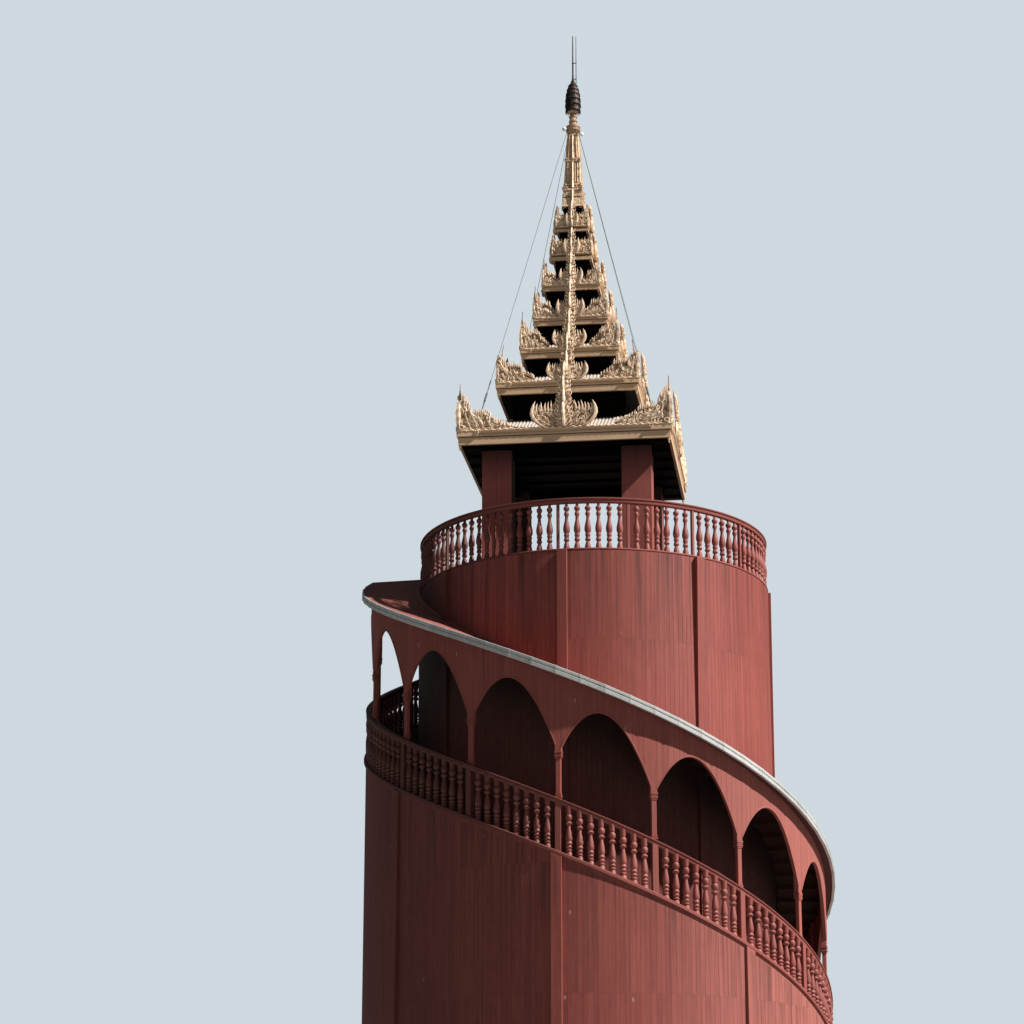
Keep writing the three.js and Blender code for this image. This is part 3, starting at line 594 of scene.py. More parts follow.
def strip(p, c, lo, hi, out0, out1, seed):
    """Cover strip on the outer wall; it stands out by out0 at its foot and out1 at its top."""
    half = math.degrees(0.105 / WALL_R)
    verts, g = [], []
    n = 5
    for i in range(n):
        u = i / (n - 1)
        o = out0 + (out1 - out0) * max(0.0, (u - 0.5) * 2)
        for t, r in ((c - half, WALL_R - 0.02), (c - half, WALL_R + o - 0.005), (c - half + 0.06, WALL_R + o), (c + half - 0.06, WALL_R + o), (c + half, WALL_R + o - 0.005), (c + half, WALL_R - 0.02)):
            z = val(lo, t) + (val(hi, t) - val(lo, t)) * u
            verts.append(pol(r, t, z))
            g.append((math.radians(t) * WALL_R + r, z, seed))
    faces = []
    for i in range(n - 1):
        for j in range(6):
            faces.append((i * 6 + j, i * 6 + (j + 1) % 6, (i + 1) * 6 + (j + 1) % 6, (i + 1) * 6 + j))
    faces.append((5, 4, 3, 2, 1, 0))
    faces.append(tuple((n - 1) * 6 + j for j in range(6)))
    p.add(verts, faces, g, 0.55)


WALL_JOINTS = [1.22 + 2.44 * k for k in range(8)]


def outer(name, node, b0, b1, lo, seed, door=False):
    a, b = bay(b0) + 0.005, bay(b1) - 0.005
    rng = random.Random(seed)
    p = Piece(name)
    if door:
        boarded(p, a, DOOR_A, WALL_R - WALL_T, WALL_R, lo, wall_top, rng, 0.098, WALL_JOINTS)
        boarded(p, DOOR_A, DOOR_B, WALL_R - WALL_T, WALL_R, door_arch, wall_top, rng, 0.060, WALL_JOINTS)
        boarded(p, DOOR_B, b, WALL_R - WALL_T, WALL_R, lo, wall_top, rng, 0.098, WALL_JOINTS)
        # moulding round the entrance
        n = 20
        arc = [DOOR_A + (DOOR_B - DOOR_A) * i / n for i in range(n + 1)]
        path = [(DOOR_A, 0.0), (DOOR_A, 1.0)] + [(t, door_arch(t)) for t in arc] + [(DOOR_B, 1.0), (DOOR_B, 0.0)]
        trim(p, path, WALL_R, 0.09, -0.02, 0.03, 3.3)
    else:
        boarded(p, a, b, WALL_R - WALL_T, WALL_R, lo, wall_top, rng, 0.098, WALL_JOINTS, [bay(22)])
    for c in PIL_WALL:
        for c2 in (c, c - 360):
            if a <= c2 < b and not (door and DOOR_A - 2 < c2 < DOOR_B + 2):
                strip(p, c2, lo, wall_top, 0.078, 0.050, c)
    p.done(WALL, node, "red_boards", 20)


def trim(p, path, r, w, back, out, seed, inner=False):
    """Moulding of width w that follows a path of (azimuth, height) on the wall; it runs outside the path's left side."""
    n = len(path)
    pts = [Vector((math.radians(t) * r, z)) for t, z in path]
    verts, g = [], []
    run = 0.0
    for i, q in enumerate(pts):
        a = pts[max(0, i - 1)]
        b = pts[min(n - 1, i + 1)]
        d = (b - a).normalized()
        nrm = Vector((-d.y, d.x))
        if i:
            run += (q - pts[i - 1]).length
        for off, o in ((0.0, back), (0.0, out * 0.8), (w * 0.2, out), (w * 0.75, out), (w, out * 0.6), (w, back)):
            e = q + nrm * off
            verts.append(pol(r + o, math.degrees(e.x / r), e.y))
            g.append((off + o, run, seed))
    faces = []
    for i in range(n - 1):
        for j in range(6):
            faces.append((i * 6 + j, i * 6 + (j + 1) % 6, (i + 1) * 6 + (j + 1) % 6, (i + 1) * 6 + j))
    faces.append((5, 4, 3, 2, 1, 0))
    faces.append(tuple((n - 1) * 6 + j for j in range(6)))
    p.add(verts, faces, g, 0.6)


for k in range(4):
    outer(f"outer_boards_{k + 1}", f"outer_wall_{k + 1}", 4 * k, 4 * k + 4, 0.0, 200 + k, door=(k == 3))
outer("upper_boards_1", "upper_wall_1", 16, 20, over_roof, 210)
outer("upper_boards_2", "upper_wall_2", 20, 23, over_roof, 211)

# ---------------------------------------------------------------- balustrades
GALLERY_TURN = [(1.0, .075), (.94, .062), (.915, .048), (.905, .066), (.885, .066), (.865, .048), (.85, .056), (.825, .070), (.80, .054), (.785, .050), (.77, .064), (.745, .070), (.72, .058), (.70, .052),
                (.67, .068), (.62, .068), (.53, .059), (.45, .045), (.385, .034), (.365, .050), (.33, .070), (.30, .050), (.285, .036), (.265, .050), (.235, .067), (.20, .071), (.165, .065), (.14, .048), (.13, .043), (.12, .055), (-.03, .068)]
PLATFORM_TURN = [(1.0, .063), (.94, .058), (.88, .044), (.845, .032), (.825, .048), (.80, .058), (.775, .048), (.74, .041), (.72, .049), (.70, .054), (.68, .048), (.655, .046), (.62, .062), (.58, .068), (.52, .064),
                 (.46, .053), (.40, .040), (.36, .033), (.30, .031), (.275, .040), (.24, .052), (.205, .042), (.18, .032), (.155, .046), (.13, .058), (.107, .061), (.085, .052), (.065, .034), (.05, .028), (-.03, .028)]


def baluster(p, r, t, z, height, rng, turn):
    """Turned baluster; turn lists (part of the height from the top, radius)."""
    x, y, _ = pol(r, t, 0)
    seed, tone = rng.uniform(0, 40), min(max(rng.gauss(0.55, 0.16), 0), 1)
    turned(p, x, y, z, [(q, height * (1 - f)) for f, q in turn], 10, seed, tone, rng.uniform(0, 0.6))


def rail_top(r, lo, hi):
    """Handrail section: a square rail under a thinner, wider cap."""
    def f(t):
        a, b = val(lo, t), val(hi, t)
        c = b - 0.030
        return [(r - 0.046, a), (r + 0.046, a), (r + 0.050, a + 0.006), (r + 0.050, c - 0.012), (r + 0.042, c - 0.004), (r + 0.070, c + 0.003), (r + 0.073, b - 0.007),
                (r + 0.064, b), (r - 0.064, b), (r - 0.073, b - 0.007), (r - 0.070, c + 0.003), (r - 0.042, c - 0.004), (r - 0.050, c - 0.012), (r - 0.050, a + 0.006)]
    return f


def rail_foot(r, lo, hi, out):
    def f(t):
        a, b = val(lo, t), val(hi, t)
        return [(r - 0.075, a), (r + out - 0.022, a), (r + out - 0.020, a + 0.010), (r + out, a + 0.016), (r + out, b - 0.014), (r + out - 0.014, b), (r - 0.075, b)]
    return f


RG = 4.655          # radius of the gallery balustrade
for k in range(6):
    b0, b1 = 4 * k, min(4 * k + 4, 23)
    rng = random.Random(300 + k)
    p = Piece(f"gallery_railing_{k + 1}")
    ts = sorted(set([round(v, 4) for v in spread(bay(b0), bay(b1), 1.875)]))
    sweep(p, ts, rail_top(RG, lambda t: zf(t) + 1.045, lambda t: zf(t) + 1.145), 1.0 + k, 0.6)
    sweep(p, ts, rail_foot(RG, lambda t: zf(t) + 0.0585, lambda t: zf(t) + 0.140, 0.098), 2.0 + k, 0.5)
    for j in range(b0, b1):
        for i in range(1, 9):
            t = bay(j) + BAY * i / 9
            baluster(p, RG, t, zf(t) + 0.130, 0.915, rng, GALLERY_TURN)
        first = j == b0
        t = bay(j) + (0.75 if j == 0 else 0)
        slope = 0.0 if t >= bay(22) else RPD * 180 / math.pi / RG
        upright(p, RG, t, 0.114, 0.100, zf(t) + 0.060, zf(t) + 1.120, 5.0 + j, 0.6, 0.006, slope)
    if b1 == 23:
        upright(p, RG, bay(23) - 0.75, 0.114, 0.100, zf(bay(23)) + 0.060, zf(bay(23)) + 1.12, 5.0, 0.6, 0.006)
    p.done(JOIN, f"gallery_balustrade_{k + 1}", "red_joinery", 38)

RP = 3.572          # radius of the platform balustrade
PLATFORM_POSTS = [211.8] + [11.2 + BAY * m for m in range(10, 24)] + [547.9]
for k in range(4):
    b0, b1 = 23 + 4 * k, min(27 + 4 * k, 38)
    rng = random.Random(320 + k)
    p = Piece(f"platform_railing_{k + 1}")
    ts = spread(bay(b0), bay(b1), 1.875)
    sweep(p, ts, rail_top(RP, H + 0.987, H + 1.087), 1.5 + k, 0.6)
    sweep(p, ts, rail_foot(RP, H + 0.0006, H + 0.046, 0.082), 2.5 + k, 0.5)
    for m, (t0, t1) in enumerate(zip(PLATFORM_POSTS, PLATFORM_POSTS[1:])):
        for i in range(6):
            t = t0 + (t1 - t0) * (0.122 + 0.1512 * i)
            if ts[0] <= t < ts[-1]:
                baluster(p, RP, t, H + 0.040, 0.948, rng, PLATFORM_TURN)
    for m, t in enumerate(PLATFORM_POSTS):
        if ts[0] <= t < ts[-1]:
            upright(p, RP, t, 0.056, 0.066, H + 0.02, H + 1.06, 5.0 + m, 0.6, 0.006)
    p.done(JOIN, f"platform_balustrade_{k + 1}", "red_joinery", 38)

# short straight length across the end of the landing
p = Piece("landing_end_railing")
rng = random.Random(340)
tE = bay(23)
aE = math.radians(tE)
tanE = (-math.cos(aE), math.sin(aE), 0.0)
radE = (-math.sin(aE), -math.cos(aE), 0.0)
oE = tuple(-0.060 * tanE[k] for k in range(3))
upE = (0, 0, 1)
block(p, (oE[0], oE[1], H + 1.037), upE, tanE, radE, 0.100, 0.110, 3.70, 4.515, 1.0, 0.6, 0.012)
block(p, (oE[0], oE[1], H + 0.026), upE, tanE, radE, 0.050, 0.110, 3.70, 4.515, 2.0, 0.5, 0.008)
for j in range(4):
    r = 3.70 + 0.815 * (j + 0.5) / 4
    x, y = oE[0] + radE[0] * r, oE[1] + radE[1] * r
    turned(p, x, y, H + 0.045, [(q, 0.948 * (1 - f)) for f, q in PLATFORM_TURN], 10, rng.uniform(0, 40), 0.55)
p.done(JOIN, "landing_end_balustrade", "red_joinery", 38)

# ---------------------------------------------------------------- arcade
AR_I, AR_O = 4.592, 4.645
SPRING, RISE = 2.150, 1.000
COLH = 0.8


def arch_z(t, k):
    a, b = bay(k) + COLH, bay(k + 1) - COLH
    u = (t - a) / (b - a)
    return zf(t) + SPRING + RISE * (1 - (2 * u - 1) ** 2)


for k in range(5):
    b0, b1 = 4 * k, min(4 * k + 4, 18)
    rng = random.Random(400 + k)
    p = Piece(f"arcade_{k + 1}")
    for j in range(b0, b1):
        a, b = bay(j) + COLH, bay(j + 1) - COLH
        n = 30
        for i in range(n):
            t0, t1 = a + (b - a) * i / n, a + (b - a) * (i + 1) / n
            wide = (i // 2)
            lo0, lo1 = arch_z(t0, j), arch_z(t1, j)
            tone = min(max(random.Random(1000 * j + wide).gauss(0.5, 0.2), 0), 1)
            seed = 3.0 * wide + j
            ch = 0.0022
            ring = []
            # pairs of strips make one board, with its eased edges on the outer sides only
            lft, rgt = i % 2 == 0, i % 2 == 1
            gd = math.degrees(ch / AR_O)
            secs = [(t0, AR_I)] + ([(t0 + gd * 0.3, AR_O - ch), (t0 + gd, AR_O)] if lft else [(t0, AR_O), (t0 + gd, AR_O)]) \
                + ([(t1 - gd, AR_O), (t1 - gd * 0.3, AR_O - ch)] if rgt else [(t1 - gd, AR_O), (t1, AR_O)]) + [(t1, AR_I)]
            verts, g = [], []
            for low in (True, False):
                for t, r in secs:
                    u = min(max((t - t0) / (t1 - t0), 0), 1)
                    z = lo0 + (lo1 - lo0) * u if low else zf(t) + 3.5594
                    verts.append(pol(r, t, z))
                    g.append((math.radians(t) * AR_O + (AR_O - r) * 0.7, z, seed))
            faces = [(q, (q + 1) % 6, 6 + (q + 1) % 6, 6 + q) for q in range(6)]
            faces += [(5, 4, 3, 2, 1, 0), (6, 7, 8, 9, 10, 11)]
            p.add(verts, faces, g, tone)
        # bead along the arch
        path = [(a + (b - a) * i / 36, arch_z(a + (b - a) * i / 36, j)) for i in range(37)]
        trim(p, path, AR_O, 0.026, -0.060, 0.008, 6.0 + j)
    for j in range(b0, b1 + (1 if k == 4 else 0)):
        t = bay(j) + (0.8 if j == 0 else 0)
        z = zf(t)
        sl = RPD * 180 / math.pi / AR_O
        tone = 0.6
        rc = 4.592
        # spandrel foot over the column, up to the roof
        upright(p, rc - 0.002, t, 0.131, 0.106, z + SPRING - 0.03, z + 3.5594, 9.0 + j, 0.55, 0.003, sl)
        # slender post with its two bands at the head and at the foot
        upright(p, rc + 0.004, t, 0.102, 0.084, z + 1.10, z + 2.06, 11.0 + j, tone, 0.010)
        for c, hgt, w in ((1.182, 0.026, 0.136), (1.214, 0.022, 0.126), (1.240, 0.018, 0.118), (1.936, 0.026, 0.128), (1.972, 0.030, 0.150), (2.010, 0.024, 0.142), (2.044, 0.030, 0.158)):
            upright(p, rc + 0.004, t, w, w * 0.84, z + c - hgt / 2, z + c + hgt / 2, 12.0 + j, tone, 0.011)
        upright(p, rc + 0.001, t, 0.135, 0.112, z + 2.056, z + SPRING - 0.012, 13.0 + j, tone, 0.010, sl * 0.5)
        # lower part of the post behind the balustrade
        upright(p, rc - 0.002, t, 0.100, 0.080, z + 0.0592, z + 1.13, 14.0 + j, tone, 0.006, sl)
    p.done(JOIN if False else RED, f"gallery_arcade_{k + 1}", "red_boards", 24)

# ---------------------------------------------------------------- gallery roof, gutter and rafters
for k in range(5):
    a, b = bay(4 * k), ROOF_END if k == 4 else bay(4 * k + 4)
    rng = random.Random(500 + k)
    p = Piece(f"gallery_roof_boards_{k + 1}")
    n = round((b - a) / 2.5)
    for i in range(n):
        t0, t1 = a + (b - a) * i / n + 0.012, a + (b - a) * (i + 1) / n - 0.012
        dz = rng.uniform(-0.004, 0.003)
        wedge(p, t0, t1, DRUM_R + 0.004, 4.786, lambda t: zf(t) + 3.575, lambda t, dz=dz: zf(t) + 3.678 + dz, rng.uniform(0, 40), min(max(rng.gauss(0.5, 0.2), 0), 1), 2)
    under = Piece(f"gallery_soffit_{k + 1}")
    for j in range(6):
        # boards that follow the stair
        r0 = DRUM_R + 0.006 + j * 0.1893
        sweep(p if j == 5 else under, spread(a + 0.01, b - 0.01, 1.875), lambda t, r0=r0: [(r0, zf(t) + 3.560), (r0 + 0.187, zf(t) + 3.560), (r0 + 0.187, zf(t) + 3.5745), (r0, zf(t) + 3.5745)], 3.0 * j, min(max(rng.gauss(0.45, 0.15), 0), 1))
    # cleat against the drum and edge board under the gutter
    sweep(p, spread(a + 0.01, b - 0.01, 1.875), lambda t: [(DRUM_R - 0.001, zf(t) + 3.683), (DRUM_R + 0.060, zf(t) + 3.683), (DRUM_R + 0.050, zf(t) + 3.694), (DRUM_R - 0.001, zf(t) + 3.710)], 8.0, 0.4)
    if k == 4:
        # verge board across the upper end
        wedge(p, ROOF_END - 0.95, ROOF_END - 0.02, DRUM_R + 0.004, 4.805, lambda t: zf(t) + 3.562, lambda t: zf(t) + 3.701, 4.0, 0.25, 2)
    p.done(ROOFB, f"gallery_roof_{k + 1}", "roof_sheet", 20)

    ns = max(1, round((b - a) / 5.625))
    for i in range(ns + (1 if k == 4 else 0)):
        t = a + (b - a) * i / ns + (0.5 if i == 0 else -0.5 if i == ns else 0)
        z = zf(t)
        w = math.degrees(0.032 / 4.2)
        wedge(under, t - w, t + w, DRUM_R + 0.003, AR_I - 0.002, lambda q: zf(q) + 3.470, lambda q: zf(q) + 3.5596, 2.0 + i, 0.4, 1)
    # the soffit boards and rafters take the near-black painted shade
    under.done(PAINTED_SHADE_RED, f"gallery_roof_{k + 1}", "roof_sheet", 30)

    # gutter in straight lengths with lapped ends
    p = Piece(f"gutter_{k + 1}")
    ns = max(1, round((b - a) / 5.625))
    cuts = [a + (b - a) * i / ns for i in range(ns + 1)]

    def gutter_ring(t, out):
        z = zf(t)
        e = 4.8485 - out
        return [(4.792, z + 3.522 + out), (e - 0.012, z + 3.520 + out), (e, z + 3.530 + out), (e, z + 3.598), (e - 0.006, z + 3.604), (e - 0.024, z + 3.606),
                (e - 0.024, z + 3.622), (e - 0.004, z + 3.626), (e + 0.000, z + 3.634), (e, z + 3.682 - out), (e - 0.008, z + 3.690 - out), (e - 0.030, z + 3.689 - out),
                (e - 0.034, z + 3.680), (e - 0.020, z + 3.674), (e - 0.020, z + 3.640), (4.792, z + 3.636)]

    for i in range(ns):
        sweep(p, [cuts[i] + (0.01 if i == 0 else 0.0), cuts[i + 1] - 0.01], lambda t: gutter_ring(t, 0.003), rng.uniform(0, 30), min(max(rng.gauss(0.55, 0.15), 0), 1))
        if i:
            sweep(p, [cuts[i] - 0.28, cuts[i] + 0.28], lambda t: gutter_ring(t, 0.0), rng.uniform(0, 30), 0.62)
    p.done(GUTTER, f"gallery_roof_{k + 1}", "gutter_metal", 25)

# ---------------------------------------------------------------- stair, landing and floors
STEP = BAY / 5.5
for k in range(6):
    p = Piece(f"stair_boards_{k + 1}")
    rng = random.Random(600 + k)
    for i in range(22 * k, min(22 * k + 22, 121)):
        t0, t1 = T0 + i * STEP, T0 + (i + 1) * STEP
        top = (i + 1) * 0.1436
        low = max(0.0, top - 0.2036)
        nose = 0.0 if i == 22 * k else 0.30
        for r0, r1 in ((DRUM_R + 0.003, 3.960), (3.963, 4.240), (4.243, 4.519)):
            wedge(p, t0 - nose + 0.005, t1 - 0.31, r0, r1, top - 0.040, top, rng.uniform(0, 40), min(max(rng.gauss(0.5, 0.2), 0), 1), 1, "r")
        wedge(p, t0 + 0.02, t1 - 0.33, DRUM_R + 0.003, 4.519, low, top - 0.0405, rng.uniform(0, 40), 0.4, 1, "r")
        wedge(p, t1 - 0.33, t1 - 0.005, DRUM_R + 0.003, 4.519, low, top - 0.0405, rng.uniform(0, 40), 0.4, 1, "r")
    p.done(DECK, f"stair_flight_{k + 1}", "deck_timber", 30)

p = Piece("landing_boards")
rng = random.Random(620)
n = 11
for i in range(n):
    t0, t1 = bay(22) + BAY * i / n + 0.02, bay(22) + BAY * (i + 1) / n - 0.02
    wedge(p, t0, t1, DRUM_R + 0.003, 4.519, H - 0.045, H - rng.uniform(0, 0.002), rng.uniform(0, 40), min(max(rng.gauss(0.5, 0.2), 0), 1), 1)
for r0 in (3.70, 4.07, 4.44):
    wedge(p, bay(22) + 0.05, bay(23) - 0.05, r0, r0 + 0.065, H - 0.2036, H - 0.0455, r0, 0.4, 6, "t")
p.done(DECK, "top_landing", "deck_timber", 30)

p = Piece("platform_planks")
rng = random.Random(630)
y = -3.49
while y < 3.49:
    w = 0.142
    y1 = min(y + w, 3.49)
    for half in (0, 1):
        verts, g = [], []
        x_in = 0.35 * math.sin(y * 37.0)
        seed, tone = rng.uniform(0, 40), min(max(rng.gauss(0.5, 0.2), 0), 1)
        zt = H - rng.uniform(0, 0.003)
        for zz in (H - 0.1, zt):
            for yy, xx in ((y + 0.002, None), (y1 - 0.002, None)):
                e = math.sqrt(max(0.0, 3.498 ** 2 - yy * yy))
                xs = (x_in + 0.0015, max(e, x_in + 0.01)) if half else (min(-e, x_in - 0.01), x_in - 0.0015)
                for xv in xs:
                    verts.append((xv, yy, zz))
                    g.append((yy + zz, xv, seed))
        # order: (y,x0) (y,x1) (y1,x0) (y1,x1) low, then high
        p.add(verts, [(0, 1, 3, 2), (4, 6, 7, 5), (0, 4, 5, 1), (2, 3, 7, 6), (0, 2, 6, 4), (1, 5, 7, 3)], g, tone)
    y += w
p.done(DECK, "platform_floor", "deck_timber", 30)

p = Piece("landing_closing_boards")
rng = random.Random(640)
for i in range(8):
    r0, r1 = DRUM_R + 0.003 + 0.870 * i / 8 + 0.001, DRUM_R + 0.003 + 0.870 * (i + 1) / 8 - 0.001
    wedge(p, bay(23) - 1.99, bay(23) - 0.006, r0, r1, over_roof, H - 0.2041, rng.uniform(0, 40), min(max(rng.gauss(0.5, 0.2), 0), 1), 1, "z")
p.done(RED, "landing_end_wall", "red_boards", 30)

p = Piece("entrance_end_boards")
for i in range(8):
    r0, r1 = DRUM_R + 0.003 + 0.870 * i / 8 + 0.001, DRUM_R + 0.003 + 0.870 * (i + 1) / 8 - 0.001
    wedge(p, bay(-1) + 0.006, bay(-1) + 1.99, r0, r1, 0.0, 3.5595, rng.uniform(0, 40), min(max(rng.gauss(0.5, 0.2), 0), 1), 1, "z")
p.done(RED, "entrance_end_wall", "red_boards", 30)

p = Piece("entrance_ceiling_boards")
for i in range(9):
    t0, t1 = bay(-1) + BAY * i / 9 + 0.01, bay(-1) + BAY * (i + 1) / 9 - 0.01
    wedge(p, t0, t1, DRUM_R + 0.003, 4.519, 3.5605, 3.6395, rng.uniform(0, 40), min(max(rng.gauss(0.5, 0.2), 0), 1), 1)
p.done(RED, "entrance_ceiling", "red_boards", 30)

# ---------------------------------------------------------------- pavilion
PX, PY, TURN = -0.372, 0.0, math.radians(-5.5)
CT, ST = math.cos(TURN), math.sin(TURN)


def pav(x, y, z):
    return (PX + x * CT - y * ST, PY + x * ST + y * CT, H + z)


def side(q):
    """Face q of the square: x along it, d outwards from the axis, z above the platform."""
    c, s = ((1, 0), (0, 1), (-1, 0), (0, -1))[q]

    def f(x, d, z):
        return pav(x * c + d * s, x * s - d * c, z)
    return f


TIERS = [  # half width, eave height, fascia, plain band, half width of the storey, slope of the sheeting, crest length and height,
    # corner tip, fan half width and horn height, pole height and width
    (2.192, 2.745, 0.315, 0.158, 1.200, 0.56, 1.160, 0.715, 1.03, 0.690, 0.565, 1.475, 0.128),
    (1.483, 4.061, 0.275, 0.130, 0.840, 0.60, 0.800, 0.560, 0.88, 0.430, 0.400, 1.085, 0.116),
    (1.031, 5.008, 0.220, 0.105, 0.630, 0.70, 0.610, 0.560, 0.86, 0.350, 0.400, 0.890, 0.108),
    (0.786, 5.829, 0.185, 0.095, 0.500, 1.10, 0.540, 0.490, 0.74, 0.290, 0.400, 0.900, 0.102),
    (0.612, 6.685, 0.140, 0.085, 0.360, 1.00, 0.400, 0.390, 0.60, 0.240, 0.370, 0.760, 0.092),
    (0.430, 7.455, 0.125, 0.085, 0.280, 1.00, 0.0, 0.310, 0.48, 0.160, 0.360, 0.650, 0.082),
    (0.349, 8.155, 0.100, 0.062, 0.200, 1.00, 0.0, 0.275, 0.52, 0.120, 0.320, 0.640, 0.074),
]
SPIRE_Z = 8.762


def edge_prism(p, F, prof, tone=0.5, inner=None):
    """Moulding along one face with mitred ends; prof is a closed list of (d, z)."""
    m = len(prof)
    verts, tones = [], []
    for sgn in (-1, 1):
        for d, z in prof:
            verts.append(F(sgn * d, d, z))
    faces = [(j, (j + 1) % m, m + (j + 1) % m, m + j) for j in range(m)]
    faces += [tuple(range(m - 1, -1, -1)), tuple(m + j for j in range(m))]
    p.add(verts, faces, None, tone if isinstance(tone, (int, float)) else list(tone) + [0.4, 0.4])


def blade(p, F, pts, w, out, back, d0, tone=0.75, tip=True, lean=0.0):
    """Carved leaf or scroll in the plane of a face: pts are (x, z), w its half widths, out and back how far it stands
    in front of and behind distance d0; lean moves its upper end outwards."""
    n = len(pts)
    verts = []
    wm = max(w)
    zlo = min(q[1] for q in pts)
    zhi = max(q[1] for q in pts)
    for i in range(n):
        a, b = pts[max(0, i - 1)], pts[min(n - 1, i + 1)]
        dx, dz = b[0] - a[0], b[1] - a[1]
        L = math.hypot(dx, dz) or 1.0
        nx, nz = -dz / L, dx / L
        k = max(w[i], 0.0015)
        o = out * (k / wm) ** 0.6
        bk = back * (k / wm) ** 0.6
        x, z = pts[i]
        d = d0 + lean * ((z - zlo) / (zhi - zlo) if zhi > zlo else 0)
        for f, dd in ((1.0, 0.0), (0.42, o), (-0.42, o), (-1.0, 0.0), (-0.5, -bk), (0.5, -bk)):
            verts.append(F(x + nx * k * f, d + dd, z + nz * k * f))
    faces, tones = [], []
    for i in range(n - 1):
        for j in range(6):
            faces.append((i * 6 + j, i * 6 + (j + 1) % 6, (i + 1) * 6 + (j + 1) % 6, (i + 1) * 6 + j))
            tones.append((tone - 0.1, tone + 0.15, tone - 0.1, tone - 0.45, tone - 0.5, tone - 0.45)[j])
    faces.append((5, 4, 3, 2, 1, 0))
    faces.append(tuple((n - 1) * 6 + j for j in range(6)))
    tones += [0.3, 0.3]
    p.add(verts, faces, None, tones)


def bez(p0, p1, p2, n=6):
    return [((1 - u) ** 2 * p0[0] + 2 * u * (1 - u) * p1[0] + u * u * p2[0], (1 - u) ** 2 * p0[1] + 2 * u * (1 - u) * p1[1] + u * u * p2[1]) for u in [i / n for i in range(n + 1)]]


def spiral(cx, cz, r0, r1, a0, turns, n=13):
    return [(cx + (r0 + (r1 - r0) * i / n) * math.cos(a0 + turns * 2 * math.pi * i / n), cz + (r0 + (r1 - r0) * i / n) * math.sin(a0 + turns * 2 * math.pi * i / n)) for i in range(n + 1)]


def taper(n, w0, w1, bulge=0.0):
    return [w0 + (w1 - w0) * i / (n - 1) + bulge * math.sin(math.pi * i / (n - 1)) for i in range(n)]


def look_up(table, s):
    for (a, ha), (b, hb) in zip(table, table[1:]):
        if s <= b:
            return ha + (hb - ha) * (s - a) / (b - a)
    return table[-1][1]


def ridges(grid, curves, w):
    """Ridge height from 0 to 1 at the (x, z) points of a grid, from their distance to carved lines."""
    P = np.array(grid)
    best = np.full(len(P), 9.0)
    for c in curves:
        A = np.array(c[:-1])
        B = np.array(c[1:])
        D = B - A
        L2 = np.maximum((D * D).sum(1), 1e-9)
        t = np.clip(((P[:, None, :] - A[None]) * D[None]).sum(2) / L2[None], 0, 1)
        q = A[None] + D[None] * t[..., None]
        best = np.minimum(best, np.sqrt(((P[:, None, :] - q) ** 2).sum(2)).min(1))
    return np.exp(-(best / w) ** 2)


def relief_plate(p, F, cols, rel, d0, back, amp, mitre=False, edge=0.8):
    """Carved closed plate. cols is a list of (x, z low, z high); rel[i][j] is the ridge height down each column."""
    rows = len(rel[0]) - 1
    verts, faces, ft = [], [], []
    m = rows + 3
    for i, (x, lo, hi) in enumerate(cols):
        for j in range(rows + 1):
            z = lo + (hi - lo) * j / rows
            r = amp * rel[i][j] * (0.35 if j in (0, rows) else 1.0)
            verts.append(F(d0 + r if mitre and i == 0 else x, d0 + r, z))
        xb = d0 - back if mitre and i == 0 else x
        verts.append(F(xb, d0 - back, lo))
        verts.append(F(xb, d0 - back, hi))
    for i in range(len(cols) - 1):
        for j in range(rows):
            q = i * m + j
            faces.append((q, q + 1, q + 1 + m, q + m))
            r = (rel[i][j] + rel[i + 1][j] + rel[i][j + 1] + rel[i + 1][j + 1]) / 4
            ft.append(0.14 + 0.74 * r + (0.10 if j == rows - 1 else 0))
        q = i * m
        faces.append((q + rows + 1 + m, q + rows + 2 + m, q + rows + 2, q + rows + 1))
        ft.append(0.3)
        faces.append((q + rows, q + rows + 2, q + rows + 2 + m, q + rows + m))
        ft.append(edge)
        faces.append((q + m, q + rows + 1 + m, q + rows + 1, q))
        ft.append(0.25)
    for i in (0, len(cols) - 1):
        faces.append(tuple(i * m + j for j in range(rows + 1)) + (i * m + rows + 2, i * m + rows + 1))
        ft.append(0.5)
    p.add(verts, faces, None, ft)


def grid_of(cols, rows):
    return [(x, lo + (hi - lo) * j / rows) for x, lo, hi in cols for j in range(rows + 1)]


def shaped(field, ncols, rows):
    return field.reshape(ncols, rows + 1)


CREST = [(0.000, 0.82), (0.017, 0.95), (0.055, 1.00), (0.100, 0.93), (0.135, 0.86), (0.165, 0.84), (0.200, 0.74), (0.225, 0.64), (0.250, 0.56), (0.285, 0.515), (0.43, 0.50), (0.55, 0.49),
         (0.585, 0.37), (0.65, 0.29), (0.73, 0.225), (0.845, 0.155), (0.93, 0.11), (1.0, 0.07)]
CREST_UP = [(0.000, 0.80), (0.03, 0.96), (0.07, 1.00), (0.11, 0.93), (0.15, 0.90), (0.20, 0.78), (0.26, 0.69), (0.33, 0.645), (0.50, 0.66), (0.62, 0.60), (0.66, 0.46), (0.74, 0.36), (0.84, 0.27), (0.93, 0.21), (1.0, 0.16)]


def crest_top(i_tier, s):
    return look_up(CREST if i_tier == 0 else CREST_UP, s)


